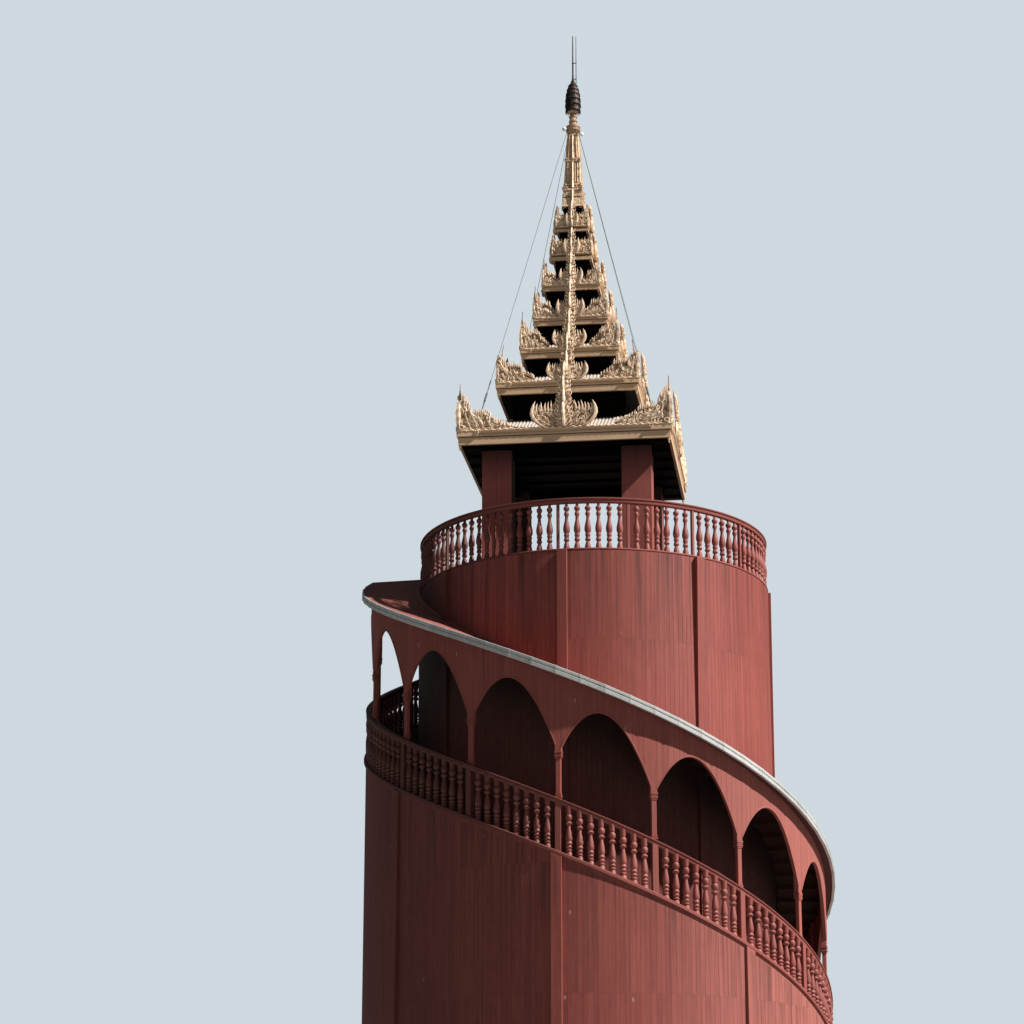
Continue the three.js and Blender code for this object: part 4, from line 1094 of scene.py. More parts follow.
def crest_lines(L, Hc):
    """Scrolls and leaves carved on a crest, measured from the corner."""
    kx, kz = L / 1.16, Hc / 0.715
    S = []
    for cx, cz, r, tr, st in ((0.145, 0.165, 0.125, 1.7, -1.2), (0.385, 0.165, 0.112, -1.6, 3.6), (0.61, 0.155, 0.095, 1.5, -0.6), (0.80, 0.095, 0.066, -1.4, 3.9), (0.955, 0.055, 0.042, 1.2, -0.6),
                              (0.105, 0.425, 0.085, -1.5, 3.4), (0.265, 0.315, 0.055, 1.3, -0.4), (0.50, 0.275, 0.042, 1.2, 3.6)):
        S.append([(x * kx, z * kz) for x, z in spiral(cx, cz, r, r * 0.16, st, tr, 22)])
    for a_, b_, c_ in (((0.34, 0.01), (0.30, 0.26), (0.09, 0.60)), ((0.27, 0.01), (0.20, 0.30), (0.045, 0.52)), ((0.50, 0.02), (0.46, 0.22), (0.20, 0.42)), ((0.52, 0.01), (0.55, 0.20), (0.36, 0.30)),
                       ((0.72, 0.01), (0.72, 0.18), (0.60, 0.26)), ((0.88, 0.01), (0.88, 0.12), (0.72, 0.17)), ((1.06, 0.01), (1.00, 0.09), (0.86, 0.115)), ((0.025, 0.02), (0.01, 0.35), (0.05, 0.66)),
                       ((0.14, 0.60), (0.11, 0.52), (0.17, 0.47)), ((0.02, 0.03), (0.40, 0.055), (1.10, 0.012))):
        S.append([(x * kx, z * kz) for x, z in bez(a_, b_, c_, 9)])
    return S


def curls(p, F, places, size, d, out, rng, tone=(0.62, 1.05)):
    """Small curled leaves laid over a carved field; places are (x, z, direction of growth)."""
    for x, z, ang in places:
        w = size * rng.uniform(0.17, 0.27)
        ln = size * rng.uniform(0.75, 1.35)
        a0 = ang + rng.uniform(-0.55, 0.55)
        bend = rng.choice((-1, 1)) * rng.uniform(0.7, 1.7)
        pts = [(x, z)]
        for j in range(3):
            a1 = a0 + bend * j / 2.0
            pts.append((pts[-1][0] + ln / 3 * math.cos(a1), pts[-1][1] + ln / 3 * math.sin(a1)))
        blade(p, F, pts, [w * 0.6, w, w * 0.75, 0.002], out * rng.uniform(0.8, 1.3), 0.008, d + rng.uniform(-0.004, 0.010), rng.uniform(*tone))


def crest_half(p, F0, a, zb, L, Hc, sgn, i_tier, rng, cols, rel):
    """Carved upstand from one corner towards the middle of a face: plate, flamelets, flames beside the corner."""
    def F(x, d, z):
        return F0(sgn * x, d, z)

    d0 = a - 0.012
    relief_plate(p, F, [(a + 0.008 - s, zb + lo, zb + hi) for s, lo, hi in cols], rel, d0, 0.045, 0.034 * (0.5 + 0.5 * Hc / 0.715), True)
    k = Hc / 0.715
    kx = L / 1.16
    g = 0.35 + 0.65 * k
    # flamelets along the top of the middle part
    n1 = (9, 7, 6, 5, 4)[i_tier]
    m0, m1 = (0.285, 0.56) if i_tier == 0 else (0.28, 0.62)
    for j in range(n1):
        s = m0 + (m1 - m0) * j / (n1 - 1)
        h = crest_top(i_tier, s) * Hc
        x = a - s * L
        hh = (0.108 + 0.026 * math.sin(j * 2.2)) * g
        pts = bez((x, zb + h - 0.04), (x - 0.018 * kx, zb + h + hh * 0.45), (x + 0.020 * kx, zb + h + hh), 5)
        blade(p, F, pts, [0.016 * g, 0.022 * g, 0.021 * g, 0.015 * g, 0.009 * g, 0.002], 0.022, 0.018, d0 - 0.010, 0.90)
    n2 = (7, 5, 5, 4, 3)[i_tier]
    for j in range(n2):
        s = (0.63 if i_tier == 0 else 0.67) + 0.29 * j / (n2 - 1)
        h = crest_top(i_tier, s) * Hc
        x = a - s * L
        hh = (0.098 - 0.036 * j / n2) * g
        pts = bez((x, zb + h - 0.04), (x - 0.012, zb + h + hh * 0.5), (x + 0.020 * kx, zb + h + hh), 4)
        blade(p, F, pts, [0.015 * g, 0.020 * g, 0.016 * g, 0.009 * g, 0.002], 0.020, 0.016, d0 - 0.010, 0.90)
    # flames that step down beside the corner one
    for s, h0, h1, w in ((0.052, 0.50, 0.90, 0.036), (0.10, 0.56, 0.86, 0.030), (0.155, 0.50, 0.80, 0.028), (0.205, 0.42, 0.68, 0.026), (0.245, 0.36, 0.58, 0.022)):
        if i_tier == 1 and s < 0.12:
            h1 = h0 + (h1 - h0) * 0.75
        x = a - s * (0.35 + 0.65 * kx)
        pts = bez((x, zb + h0 * k * 0.9), (x - 0.024 * g, zb + (h0 * 0.45 + h1 * 0.55) * k), (x + 0.008 * g, zb + h1 * k), 6)
        blade(p, F, pts, [w * 0.8 * g, w * g, w * 0.9 * g, w * 0.68 * g, w * 0.45 * g, w * 0.25 * g, 0.002], 0.028, 0.02, d0 - 0.006, 0.88)
    # big curling leaves laid on the plate
    for x0, z0, x1, z1_, x2, z2, w in ((0.46, 0.06, 0.30, 0.16, 0.235, 0.50, 0.024), (0.56, 0.05, 0.44, 0.15, 0.40, 0.40, 0.022), (0.27, 0.04, 0.16, 0.16, 0.125, 0.56, 0.026), (0.73, 0.04, 0.62, 0.10, 0.58, 0.25, 0.018)):
        if x0 * kx > L * 0.93:
            continue
        q = crest_top(i_tier, min(1.0, x2 * kx / L)) * Hc * 0.94 / k
        pts = bez((a - x0 * kx, zb + z0 * k), (a - x1 * kx, zb + z1_ * k), (a - x2 * kx, zb + min(z2, q) * k), 8)
        blade(p, F, pts, [w * g * v for v in (0.30, 0.65, 0.95, 1.0, 0.95, 0.85, 0.7, 0.45, 0.1)], 0.034 * g, 0.01, d0 + 0.006, 0.92)
    places = []
    for _ in range((42, 26, 19, 14, 10)[i_tier]):
        u = rng.uniform(0.01, 0.97) ** 1.15
        top = crest_top(i_tier, u) * Hc
        places.append((a - u * L, zb + top * rng.uniform(0.05, 1.0), math.radians(100 - 45 * min(1.0, u * 2.2))))
    curls(p, F, places, 0.098 * (0.45 + 0.55 * k), d0 + 0.016, 0.021, rng)
    # curled end of the corner plate, and its scroll on the cornice
    R = 0.060 * k
    blade(p, F, spiral(a - 0.075 * kx, zb + 0.055 * k, R, R * 0.25, -1.5, 1.4, 13), taper(14, 0.022 * k, 0.010 * k, 0.005 * k), 0.034 * k, 0.02, a + 0.022 * k, 0.92)


def corner_flame(p, q, a, zb, tip, i_tier):
    """Upright flame on the hip, built in the diagonal plane, with its thin spike."""
    c, s = ((1, -1), (1, 1), (-1, 1), (-1, -1))[q]
    k = tip / 1.03
    g = 0.4 + 0.6 * k
    e = (c / math.sqrt(2), s / math.sqrt(2))

    def D(u, v, z):
        # u outwards along the diagonal, v across it
        return pav(c * (a - 0.02) + e[0] * u - e[1] * v, s * (a - 0.02) + e[1] * u + e[0] * v, z)

    inward = -0.150 if i_tier == 1 else -0.015
    rows = [(0.00, 0.052, 0.056), (0.06, 0.072, 0.064), (0.12, 0.060, 0.056), (0.20, 0.088, 0.070), (0.28, 0.072, 0.060), (0.37, 0.090, 0.068), (0.45, 0.068, 0.056), (0.53, 0.072, 0.056), (0.60, 0.046, 0.042),
            (0.66, 0.034, 0.034), (0.70, 0.019, 0.020), (0.72, 0.033, 0.033), (0.75, 0.018, 0.018), (0.80, 0.011, 0.011), (1.0, 0.0085, 0.0085)]
    slim = (0.92, 0.80, 0.74, 0.72, 0.70, 0.70, 0.70)[i_tier]
    verts = []
    for h, w, v in rows:
        z = zb - 0.03 + (h * tip + 0.03)
        off = (0.030 * math.sin(min(h, 0.72) * 4.4) + 0.016 * max(0.0, h - 0.72)) * g + inward * (h ** 1.3 if i_tier == 1 else h)
        wk, vk = (w * g * slim, v * g * slim) if h < 0.76 else (w, v)
        for du, dv in ((1.0, 0.0), (0.45, 0.75), (-0.45, 0.75), (-1.0, 0.0), (-0.45, -0.75), (0.45, -0.75)):
            verts.append(D(off + du * wk, dv * vk, z))
    n = len(rows)
    faces, tones = [], []
    for i in range(n - 1):
        for j in range(6):
            faces.append((i * 6 + j, i * 6 + (j + 1) % 6, (i + 1) * 6 + (j + 1) % 6, (i + 1) * 6 + j))
            tones.append((0.98, 0.80, 0.62, 0.62, 0.80, 0.98)[j] - (0.35 if i in (1, 3, 5) else 0.0) if i < 9 else 0.10)
    faces += [(5, 4, 3, 2, 1, 0), tuple((n - 1) * 6 + j for j in range(6))]
    tones += [0.3, 0.2]
    p.add(verts, faces, None, tones)


FAN_LO = [(0.0, 0.0), (0.43, 0.0), (0.51, 0.065), (0.59, 0.16), (0.635, 0.255), (0.655, 0.33)]
FAN_HI = [(0.0, 0.90), (0.10, 0.88), (0.125, 0.80), (0.155, 0.69), (0.19, 0.58), (0.235, 0.50), (0.29, 0.43), (0.36, 0.46), (0.42, 0.41), (0.48, 0.45), (0.54, 0.41), (0.60, 0.45), (0.655, 0.37)]


def fan_lines():
    S = []
    for a_, b_, c_ in (((0.620, 0.38), (0.52, 0.14), (0.32, 0.02)), ((0.520, 0.42), (0.44, 0.20), (0.20, 0.05)), ((0.41, 0.42), (0.33, 0.26), (0.13, 0.12)), ((0.30, 0.43), (0.22, 0.33), (0.10, 0.23)),
                       ((0.21, 0.52), (0.15, 0.45), (0.08, 0.38)), ((0.145, 0.70), (0.11, 0.62), (0.06, 0.54))):
        S.append(bez(a_, b_, c_, 10))
    for cx, cz, r, tr, st in ((0.505, 0.235, 0.060, 1.4, -0.6), (0.385, 0.185, 0.058, -1.4, 3.4), (0.425, 0.335, 0.046, 1.3, 0.4), (0.285, 0.290, 0.050, -1.3, 3.0), (0.250, 0.120, 0.055, 1.4, -0.8), (0.405, 0.070, 0.048, -1.3, 3.2),
                              (0.165, 0.300, 0.042, 1.2, 0.0), (0.580, 0.345, 0.038, 1.2, 0.6)):
        S.append(spiral(cx, cz, r, r * 0.2, st, tr, 16))
    return S


def fan(p, F, a, zb, W, Hm, i_tier, rng, cols, rel):
    """Centre ornament: two open palms with horns and fingers on both sides of the pole, over a three-lobed leaf."""
    d0 = a + 0.004
    kx, k = W / 0.69, Hm / 0.61
    d = 0.75 * k + 0.25
    g = 0.3 + 0.7 * k
    for sgn in (-1, 1):
        def G(x, dd, z, sgn=sgn):
            return F(sgn * x, dd, z)
        relief_plate(p, G, [(x * kx, zb + lo * k, zb + hi * k) for x, lo, hi in cols], rel, d0, 0.045, 0.044 * d, False)
        # outer horn, thick in its middle, with the tip turned in
        horn = [(0.39, 0.0), (0.475, 0.045), (0.562, 0.125), (0.630, 0.22), (0.662, 0.325), (0.656, 0.425), (0.630, 0.52), (0.590, 0.615)]
        blade(p, G, [(x * kx, zb + z * k) for x, z in horn], [v * g for v in (0.018, 0.030, 0.040, 0.046, 0.046, 0.038, 0.025)] + [0.002], 0.060 * d, 0.03, d0 + 0.012, 0.86)
        # fingers of uneven height
        nf = (6, 5, 4, 4, 3, 3, 2)[i_tier]
        for j in range(nf):
            u = j / max(1, nf - 1)
            x0 = 0.575 - 0.330 * u + rng.uniform(-0.010, 0.010)
            top = 0.560 + 0.060 * u + rng.uniform(-0.035, 0.035)
            sway = rng.uniform(-0.02, 0.03)
            pts = bez((x0 * kx, zb + 0.37 * k), ((x0 + 0.026) * kx, zb + 0.46 * k), ((x0 - 0.008 + sway) * kx, zb + top * k), 5)
            blade(p, G, pts, [v * g for v in (0.030, 0.027, 0.024, 0.019, 0.012)] + [0.002], 0.036 * d, 0.03, d0 + rng.uniform(0.0, 0.012), rng.uniform(0.80, 1.0))
        # feathers laid over the palm
        for x0, z0, x1, z1_, x2, z2, w in ((0.22, 0.03, 0.42, 0.07, 0.565, 0.30, 0.022), (0.13, 0.19, 0.24, 0.24, 0.36, 0.40, 0.019)):
            blade(p, G, bez((x0 * kx, zb + z0 * k), (x1 * kx, zb + z1_ * k), (x2 * kx, zb + z2 * k), 7), [v * w * g for v in (0.4, 0.9, 0.7, 1.1, 0.75, 1.0, 0.6, 0.15)], 0.036 * d, 0.01, d0 + 0.010, 0.82)
        places = []
        for _ in range((24, 14, 11, 9, 7, 5, 4)[i_tier]):
            x = rng.uniform(0.08, 0.62)
            lo, hi = look_up(FAN_LO, x), look_up(FAN_HI, x)
            z = lo + (hi - lo) * rng.uniform(0.05, 0.98)
            places.append((x * kx, zb + z * k, math.atan2(z + 0.12, max(0.05, x - 0.05))))
        curls(p, G, places, 0.090 * (0.40 + 0.60 * k), d0 + 0.020 * d, 0.022, rng)
        # side lobes of the leaf at the foot
        for x1, z1_, w in ((0.085, 0.235, 0.030), (0.165, 0.160, 0.026)):
            pts = bez((0.03 * kx, zb + 0.0), (x1 * 0.55 * kx, zb + z1_ * 0.45 * k), (x1 * kx, zb + z1_ * k), 6)
            blade(p, G, pts, [v * w * g for v in (0.7, 1.0, 1.1, 1.0, 0.75, 0.4, 0.06)], 0.055 * d, 0.01, d0 + 0.030 * d, 0.95)
    blade(p, F, [(0.0, zb - 0.01), (0.0, zb + 0.06 * k), (0.0, zb + 0.14 * k), (0.0, zb + 0.21 * k), (0.0, zb + 0.275 * k), (0.0, zb + 0.33 * k)], [v * g for v in (0.030, 0.046, 0.048, 0.038, 0.020, 0.002)], 0.075 * d, 0.01, d0 + 0.040 * d, 0.85)


def pole(p, F, a, zb, hp, wp, i_tier):
    """Free-standing carved stem in front of a face, leaning a little inwards: chevrons of small leaves, side leaves and
    a raised keel in lengths."""
    W0 = (0.165, 0.145, 0.135, 0.112, 0.098, 0.084, 0.076)[i_tier]

    def lean(h):
        return a + 0.030 - 0.085 * h

    def half(u):
        if u > 0.86:
            return W0 * 0.50 * (1.0 - (u - 0.86) / 0.14) ** 0.9 + 0.004
        return W0 * (1.0 - 0.50 * (u / 0.86) ** 0.8)

    n = max(14, int(hp / 0.026))
    xs = (-1.0, -0.72, -0.44, -0.18, 0.0, 0.22, 0.48, 0.74, 1.0)
    verts, faces, tones = [], [], []
    m = len(xs) + 2
    rel = []
    for i in range(n + 1):
        u = i / n
        h = hp * u
        w = half(u) * (1.0 + (0.10 if i % 3 == 1 else -0.06 if i % 3 == 0 else 0.0))
        e_ = min(1.0, 0.08 + half(u) / (W0 * 0.5))
        row = []
        for x in xs:
            r = 0.5 + 0.5 * math.sin(2 * math.pi * (h - abs(x) * w * 0.9) / 0.078)
            row.append(r)
            verts.append(F(x * w, lean(h) + e_ * (0.020 * r * (1.0 if abs(x) < 0.95 else 0.3) + 0.020 * (1 - x * x)), zb + h))
        rel.append(row)
        verts.append(F(w * 0.7, lean(h) - 0.030 * e_, zb + h))
        verts.append(F(-w * 0.7, lean(h) - 0.030 * e_, zb + h))
    for i in range(n):
        for j in range(m):
            faces.append((i * m + j, i * m + (j + 1) % m, (i + 1) * m + (j + 1) % m, (i + 1) * m + j))
            if j < len(xs) - 1:
                r = (rel[i][j] + rel[i + 1][j] + rel[i][j + 1] + rel[i + 1][j + 1]) / 4
                tones.append(0.22 + 0.62 * r)
            else:
                tones.append(0.3)
    faces += [tuple(range(m - 1, -1, -1)), tuple(n * m + j for j in range(m))]
    tones += [0.4, 0.4]
    p.add(verts, faces, None, tones)
    # side leaves
    g = W0 / 0.165
    nl = max(4, int(hp / (0.085 + 0.03 * g)))
    for j in range(nl):
        u = 0.10 + 0.78 * j / nl
        h = hp * u
        w = half(u)
        for sgn in (-1, 1):
            sh = h + (0.03 if sgn > 0 else 0.0)
            e = (0.055 + 0.012 * math.sin(j * 2.6 + sgn)) * (0.45 + 0.55 * g)
            pts = bez((sgn * w * 0.55, zb + sh), (sgn * (w + e * 0.75), zb + sh + e * 0.25), (sgn * (w + e * 0.70), zb + sh + e * 1.75), 4)
            blade(p, F, pts, [v * (0.45 + 0.55 * g) for v in (0.020, 0.026, 0.020, 0.012, 0.002)], 0.024, 0.016, lean(h) + 0.006, 0.86)
    rng = random.Random(90 + i_tier)
    places = []
    for _ in range((34, 26, 22, 18, 14, 12, 10)[i_tier]):
        u = rng.uniform(0.03, 0.84)
        x = rng.choice((-1, 1)) * rng.uniform(0.30, 0.92)
        places.append((x * half(u), zb + hp * u, math.radians(90 - 38 * (1 if x > 0 else -1))))
    for x, z, ang in places:
        curls(p, F, [(x, z, ang)], 0.062 * (0.45 + 0.55 * g), lean(z - zb) + 0.022, 0.024, rng)
    # keel in lengths, each with drawn-in ends; its front and right faces carry a painted highlight and its left face
    # painted shade
    k0, length = 0.24 * min(1.0, hp), 0.34
    cuts = max(2, round((hp * 0.97 - k0) / length))
    for c in range(cuts):
        h0 = k0 + (hp * 0.97 - k0) * c / cuts
        h1 = k0 + (hp * 0.97 - k0) * (c + 1) / cuts
        off = -0.10 * wp + (0.05 if c % 2 else -0.03) * wp
        vs, fs, tn = [], [], []
        q = 7
        for j in range(q + 1):
            v = j / q
            h = h0 + (h1 - h0) * v
            w = wp * 0.36 * (1.0 - 0.42 * h / hp) * (0.58 if j == 0 else 1.0 if j < 3 else 0.92 if j < 6 else 0.78 if j == 6 else 0.40)
            if h > 0.86 * hp:
                w *= max(0.12, (hp - h) / (0.14 * hp))
            dd = lean(h) + 0.030 * min(1.0, 0.1 + half(h / hp) / (W0 * 0.5))
            for x, o in ((-w, 0.0), (-w * 0.35, w * 1.2), (w * 0.30, w * 1.15), (w, 0.0), (0.0, -0.03 * min(1.0, 0.1 + half(h / hp) / (W0 * 0.5)))):
                vs.append(F(x + off, dd + o, zb + h))
        for j in range(q):
            for e in range(5):
                fs.append((j * 5 + e, j * 5 + (e + 1) % 5, (j + 1) * 5 + (e + 1) % 5, (j + 1) * 5 + e))
                tn.append((0.55, 1.10, 1.20, 0.4, 0.4)[e])
        fs += [(4, 3, 2, 1, 0), tuple(q * 5 + e for e in range(5))]
        tn += [0.5, 0.5]
        p.add(vs, fs, None, tn)


def full_plate(p, F, a, zb, h, tip, i_tier, rng, cols, rel):
    """Carved plate along the whole face of a small tier, with flame tips at its corners and small ones between."""
    d0 = a + 0.004
    g = (0.72, 0.62, 0.55)[i_tier - 4]
    for sgn in (-1, 1):
        def G(x, dd, z, sgn=sgn):
            return F(sgn * x, dd, z)
        relief_plate(p, G, [(d0 - s, zb + lo, zb + hi) for s, lo, hi in cols], rel, d0, 0.040, 0.030 * g, True)
        for s, h1, w in ((0.02, tip, 0.020), (0.055 * g + 0.02, tip * 0.86, 0.018), (0.12 * g + 0.02, tip * 0.74, 0.018), (0.20 * g + 0.02, h * 1.30, 0.016), (0.30 * g + 0.02, h * 1.22, 0.016), (0.42 * g + 0.02, h * 1.28, 0.016)):
            x = a - s
            if x < 0.05:
                continue
            pts = bez((x, zb + h * 0.75), (x - 0.022 * g, zb + h * 0.5 + h1 * 0.5), (x + 0.012 * g, zb + h1), 5)
            blade(p, G, pts, [w * g * 1.3, w * g * 1.5, w * g * 1.2, w * g * 0.8, w * g * 0.4, 0.002], 0.018, 0.016, d0 - 0.012, 0.72)


def square_body(p, prof, tone=0.5, tones=None):
    """Closed square body about the pavilion axis; prof is (half width, height) from the foot up."""
    vs, fs, tn = [], [], []
    for h, z in prof:
        for sx, sy in ((-1, -1), (1, -1), (1, 1), (-1, 1)):
            vs.append(pav(sx * h, sy * h, z))
    for i in range(len(prof) - 1):
        for j in range(4):
            fs.append((i * 4 + j, i * 4 + (j + 1) % 4, (i + 1) * 4 + (j + 1) % 4, (i + 1) * 4 + j))
            tn.append(tones[i] if tones else tone)
    fs += [(3, 2, 1, 0), tuple((len(prof) - 1) * 4 + j for j in range(4))]
    tn += [tone, tone]
    p.add(vs, fs, [(v[0] + v[1], v[2], 1.0) for v in vs], tn)


def pbox(p, x0, x1, y0, y1, z0, z1, seed=0.0, tone=0.5, q=0, ch=0.004, grain="z"):
    """Squared timber in the pavilion's own directions, turned by q quarter turns."""
    F = side(q)
    cx, cy = (x0 + x1) / 2, (y0 + y1) / 2
    sx, sy = x1 - x0, y1 - y0
    hx, hy = sx / 2, sy / 2
    ch = min(ch, hx * 0.45, hy * 0.45)
    sec = [(-hx + ch, -hy), (hx - ch, -hy), (hx, -hy + ch), (hx, hy - ch), (hx - ch, hy), (-hx + ch, hy), (-hx, hy - ch), (-hx, -hy + ch)]
    vs, g = [], []
    for z in (z0, z1):
        for x, y in sec:
            vs.append(F(cx + x, -(cy + y), z))
            if grain == "z":
                g.append((x + y * 0.8, z, seed))
            elif grain == "x":
                g.append((z + y, cx + x, seed))
            else:
                g.append((z + x, cy + y, seed))
    fs = [(i, (i + 1) % 8, 8 + (i + 1) % 8, 8 + i) for i in range(8)] + [tuple(range(7, -1, -1)), tuple(range(8, 16))]
    p.add(vs, fs, g, tone)


# piers: boarded squares with eased corners
PIER, PIER_OUT = 0.615, 1.755
for name, sx, sy in (("front_left", -1, -1), ("front_right", 1, -1), ("back_right", 1, 1), ("back_left", -1, 1)):
    p = Piece(f"pier_{name}_boards")
    rng = random.Random(sx * 7 + sy * 3 + 50)
    half = PIER / 2
    cx, cy = sx * (PIER_OUT - half), sy * (PIER_OUT - half)
    core = half - 0.028
    pbox(p, cx - core, cx + core, cy - core, cy + core, 0.0, 2.7445, 1.0, 0.4)
    inner = Piece(f"pier_{name}_inner_boards")
    n = 2
    for q in range(4):
        for i in range(n):
            w = PIER / n
            u0, u1 = -half + i * w + 0.0008, -half + (i + 1) * w - 0.0008
            if i == 0:
                u0 = -half + (0.0 if q % 2 == 0 else 0.0285)
            if i == n - 1:
                u1 = half - (0.0 if q % 2 == 0 else 0.0285)
            d0, d1 = core, half
            o = rng.uniform(-0.0015, 0.0)
            box = {0: (u0, u1, -d1 - o, -d0), 2: (u0, u1, d0, d1 + o), 1: (d0, d1 + o, u0, u1), 3: (-d1 - o, -d0, u0, u1)}[q]
            pbox(inner if q in ((1 if sx < 0 else 3), (2 if sy < 0 else 0)) else p, cx + box[0], cx + box[1], cy + box[2], cy + box[3], 0.0, 2.7445, rng.uniform(0, 40), min(max(rng.gauss(0.5, 0.18), 0), 1))
    # the pier's inward faces take the near-black painted shade
    inner.done(PAINTED_SHADE_RED, f"pavilion_pier_{name}", "red_piers", 30)
    p.done(PIERS, f"pavilion_pier_{name}", "red_piers", 30)

# carved fields, worked out once for each tier
FIELDS = []
for i, (a, z0, f, fl, b, sl, L, hc, tip, wc, hm, hp, wp) in enumerate(TIERS):
    step = (0.0165, 0.0150, 0.0140, 0.0130, 0.0130, 0.0120, 0.0110)[i]
    if L:
        n, rows = int(L / step), (24, 20, 18, 16, 14)[i]
        cols = [(L * j / n, -0.02, crest_top(i, j / n) * hc) for j in range(n + 1)]
        lines = crest_lines(L, hc)
        w = 0.0175 * (0.35 + 0.65 * hc / 0.715)
    else:
        n, rows = int((a - 0.01) / step), 18
        run = a - 0.012
        cols = []
        for j in range(n + 1):
            s = run * j / n
            h = hc * (1.0 + 0.10 * abs(math.sin(s * 26.0 / (0.4 + a)))) * (1.22 if s < 0.03 else 1.10 if s < 0.08 else 1.0)
            cols.append((s, -0.012, h))
        lines = []
        for cs, ch_, r, tr, st in ((0.24, 0.40, 0.25, 1.5, -1.2), (0.62, 0.42, 0.24, -1.5, 3.6), (0.12, 0.80, 0.12, -1.3, 3.4), (0.42, 0.82, 0.11, 1.2, 0.5), (0.86, 0.75, 0.13, 1.2, 2.0)):
            R = r * min(run * 0.85, hc * 1.35)
            lines.append(spiral(cs * run, ch_ * hc, R, R * 0.15, st, tr, 18))
        for a_, b_, c_ in (((0.45, 0.03), (0.42, 0.50), (0.18, 0.98)), ((0.03, 0.05), (0.0, 0.5), (0.06, 0.95)), ((0.75, 0.03), (0.78, 0.5), (0.50, 0.98)), ((0.95, 0.05), (0.98, 0.5), (0.74, 0.98)), ((0.0, 0.06), (0.5, 0.09), (1.0, 0.06))):
            lines.append([(x * run, z * hc) for x, z in bez(a_, b_, c_, 9)])
        w = 0.0125
    rel = shaped(ridges(grid_of(cols, rows), lines, w), len(cols), rows)
    fn, fr = (40, 34, 30, 26, 22, 18, 14)[i], (26, 22, 20, 18, 16, 14, 12)[i]
    fcols = [(0.655 * j / fn, look_up(FAN_LO, 0.655 * j / fn), look_up(FAN_HI, 0.655 * j / fn)) for j in range(fn + 1)]
    frel = shaped(ridges(grid_of(fcols, fr), fan_lines(), (0.0155, 0.019, 0.021, 0.024, 0.027, 0.030, 0.034)[i]), len(fcols), fr)
    FIELDS.append((cols, rel, fcols, frel))

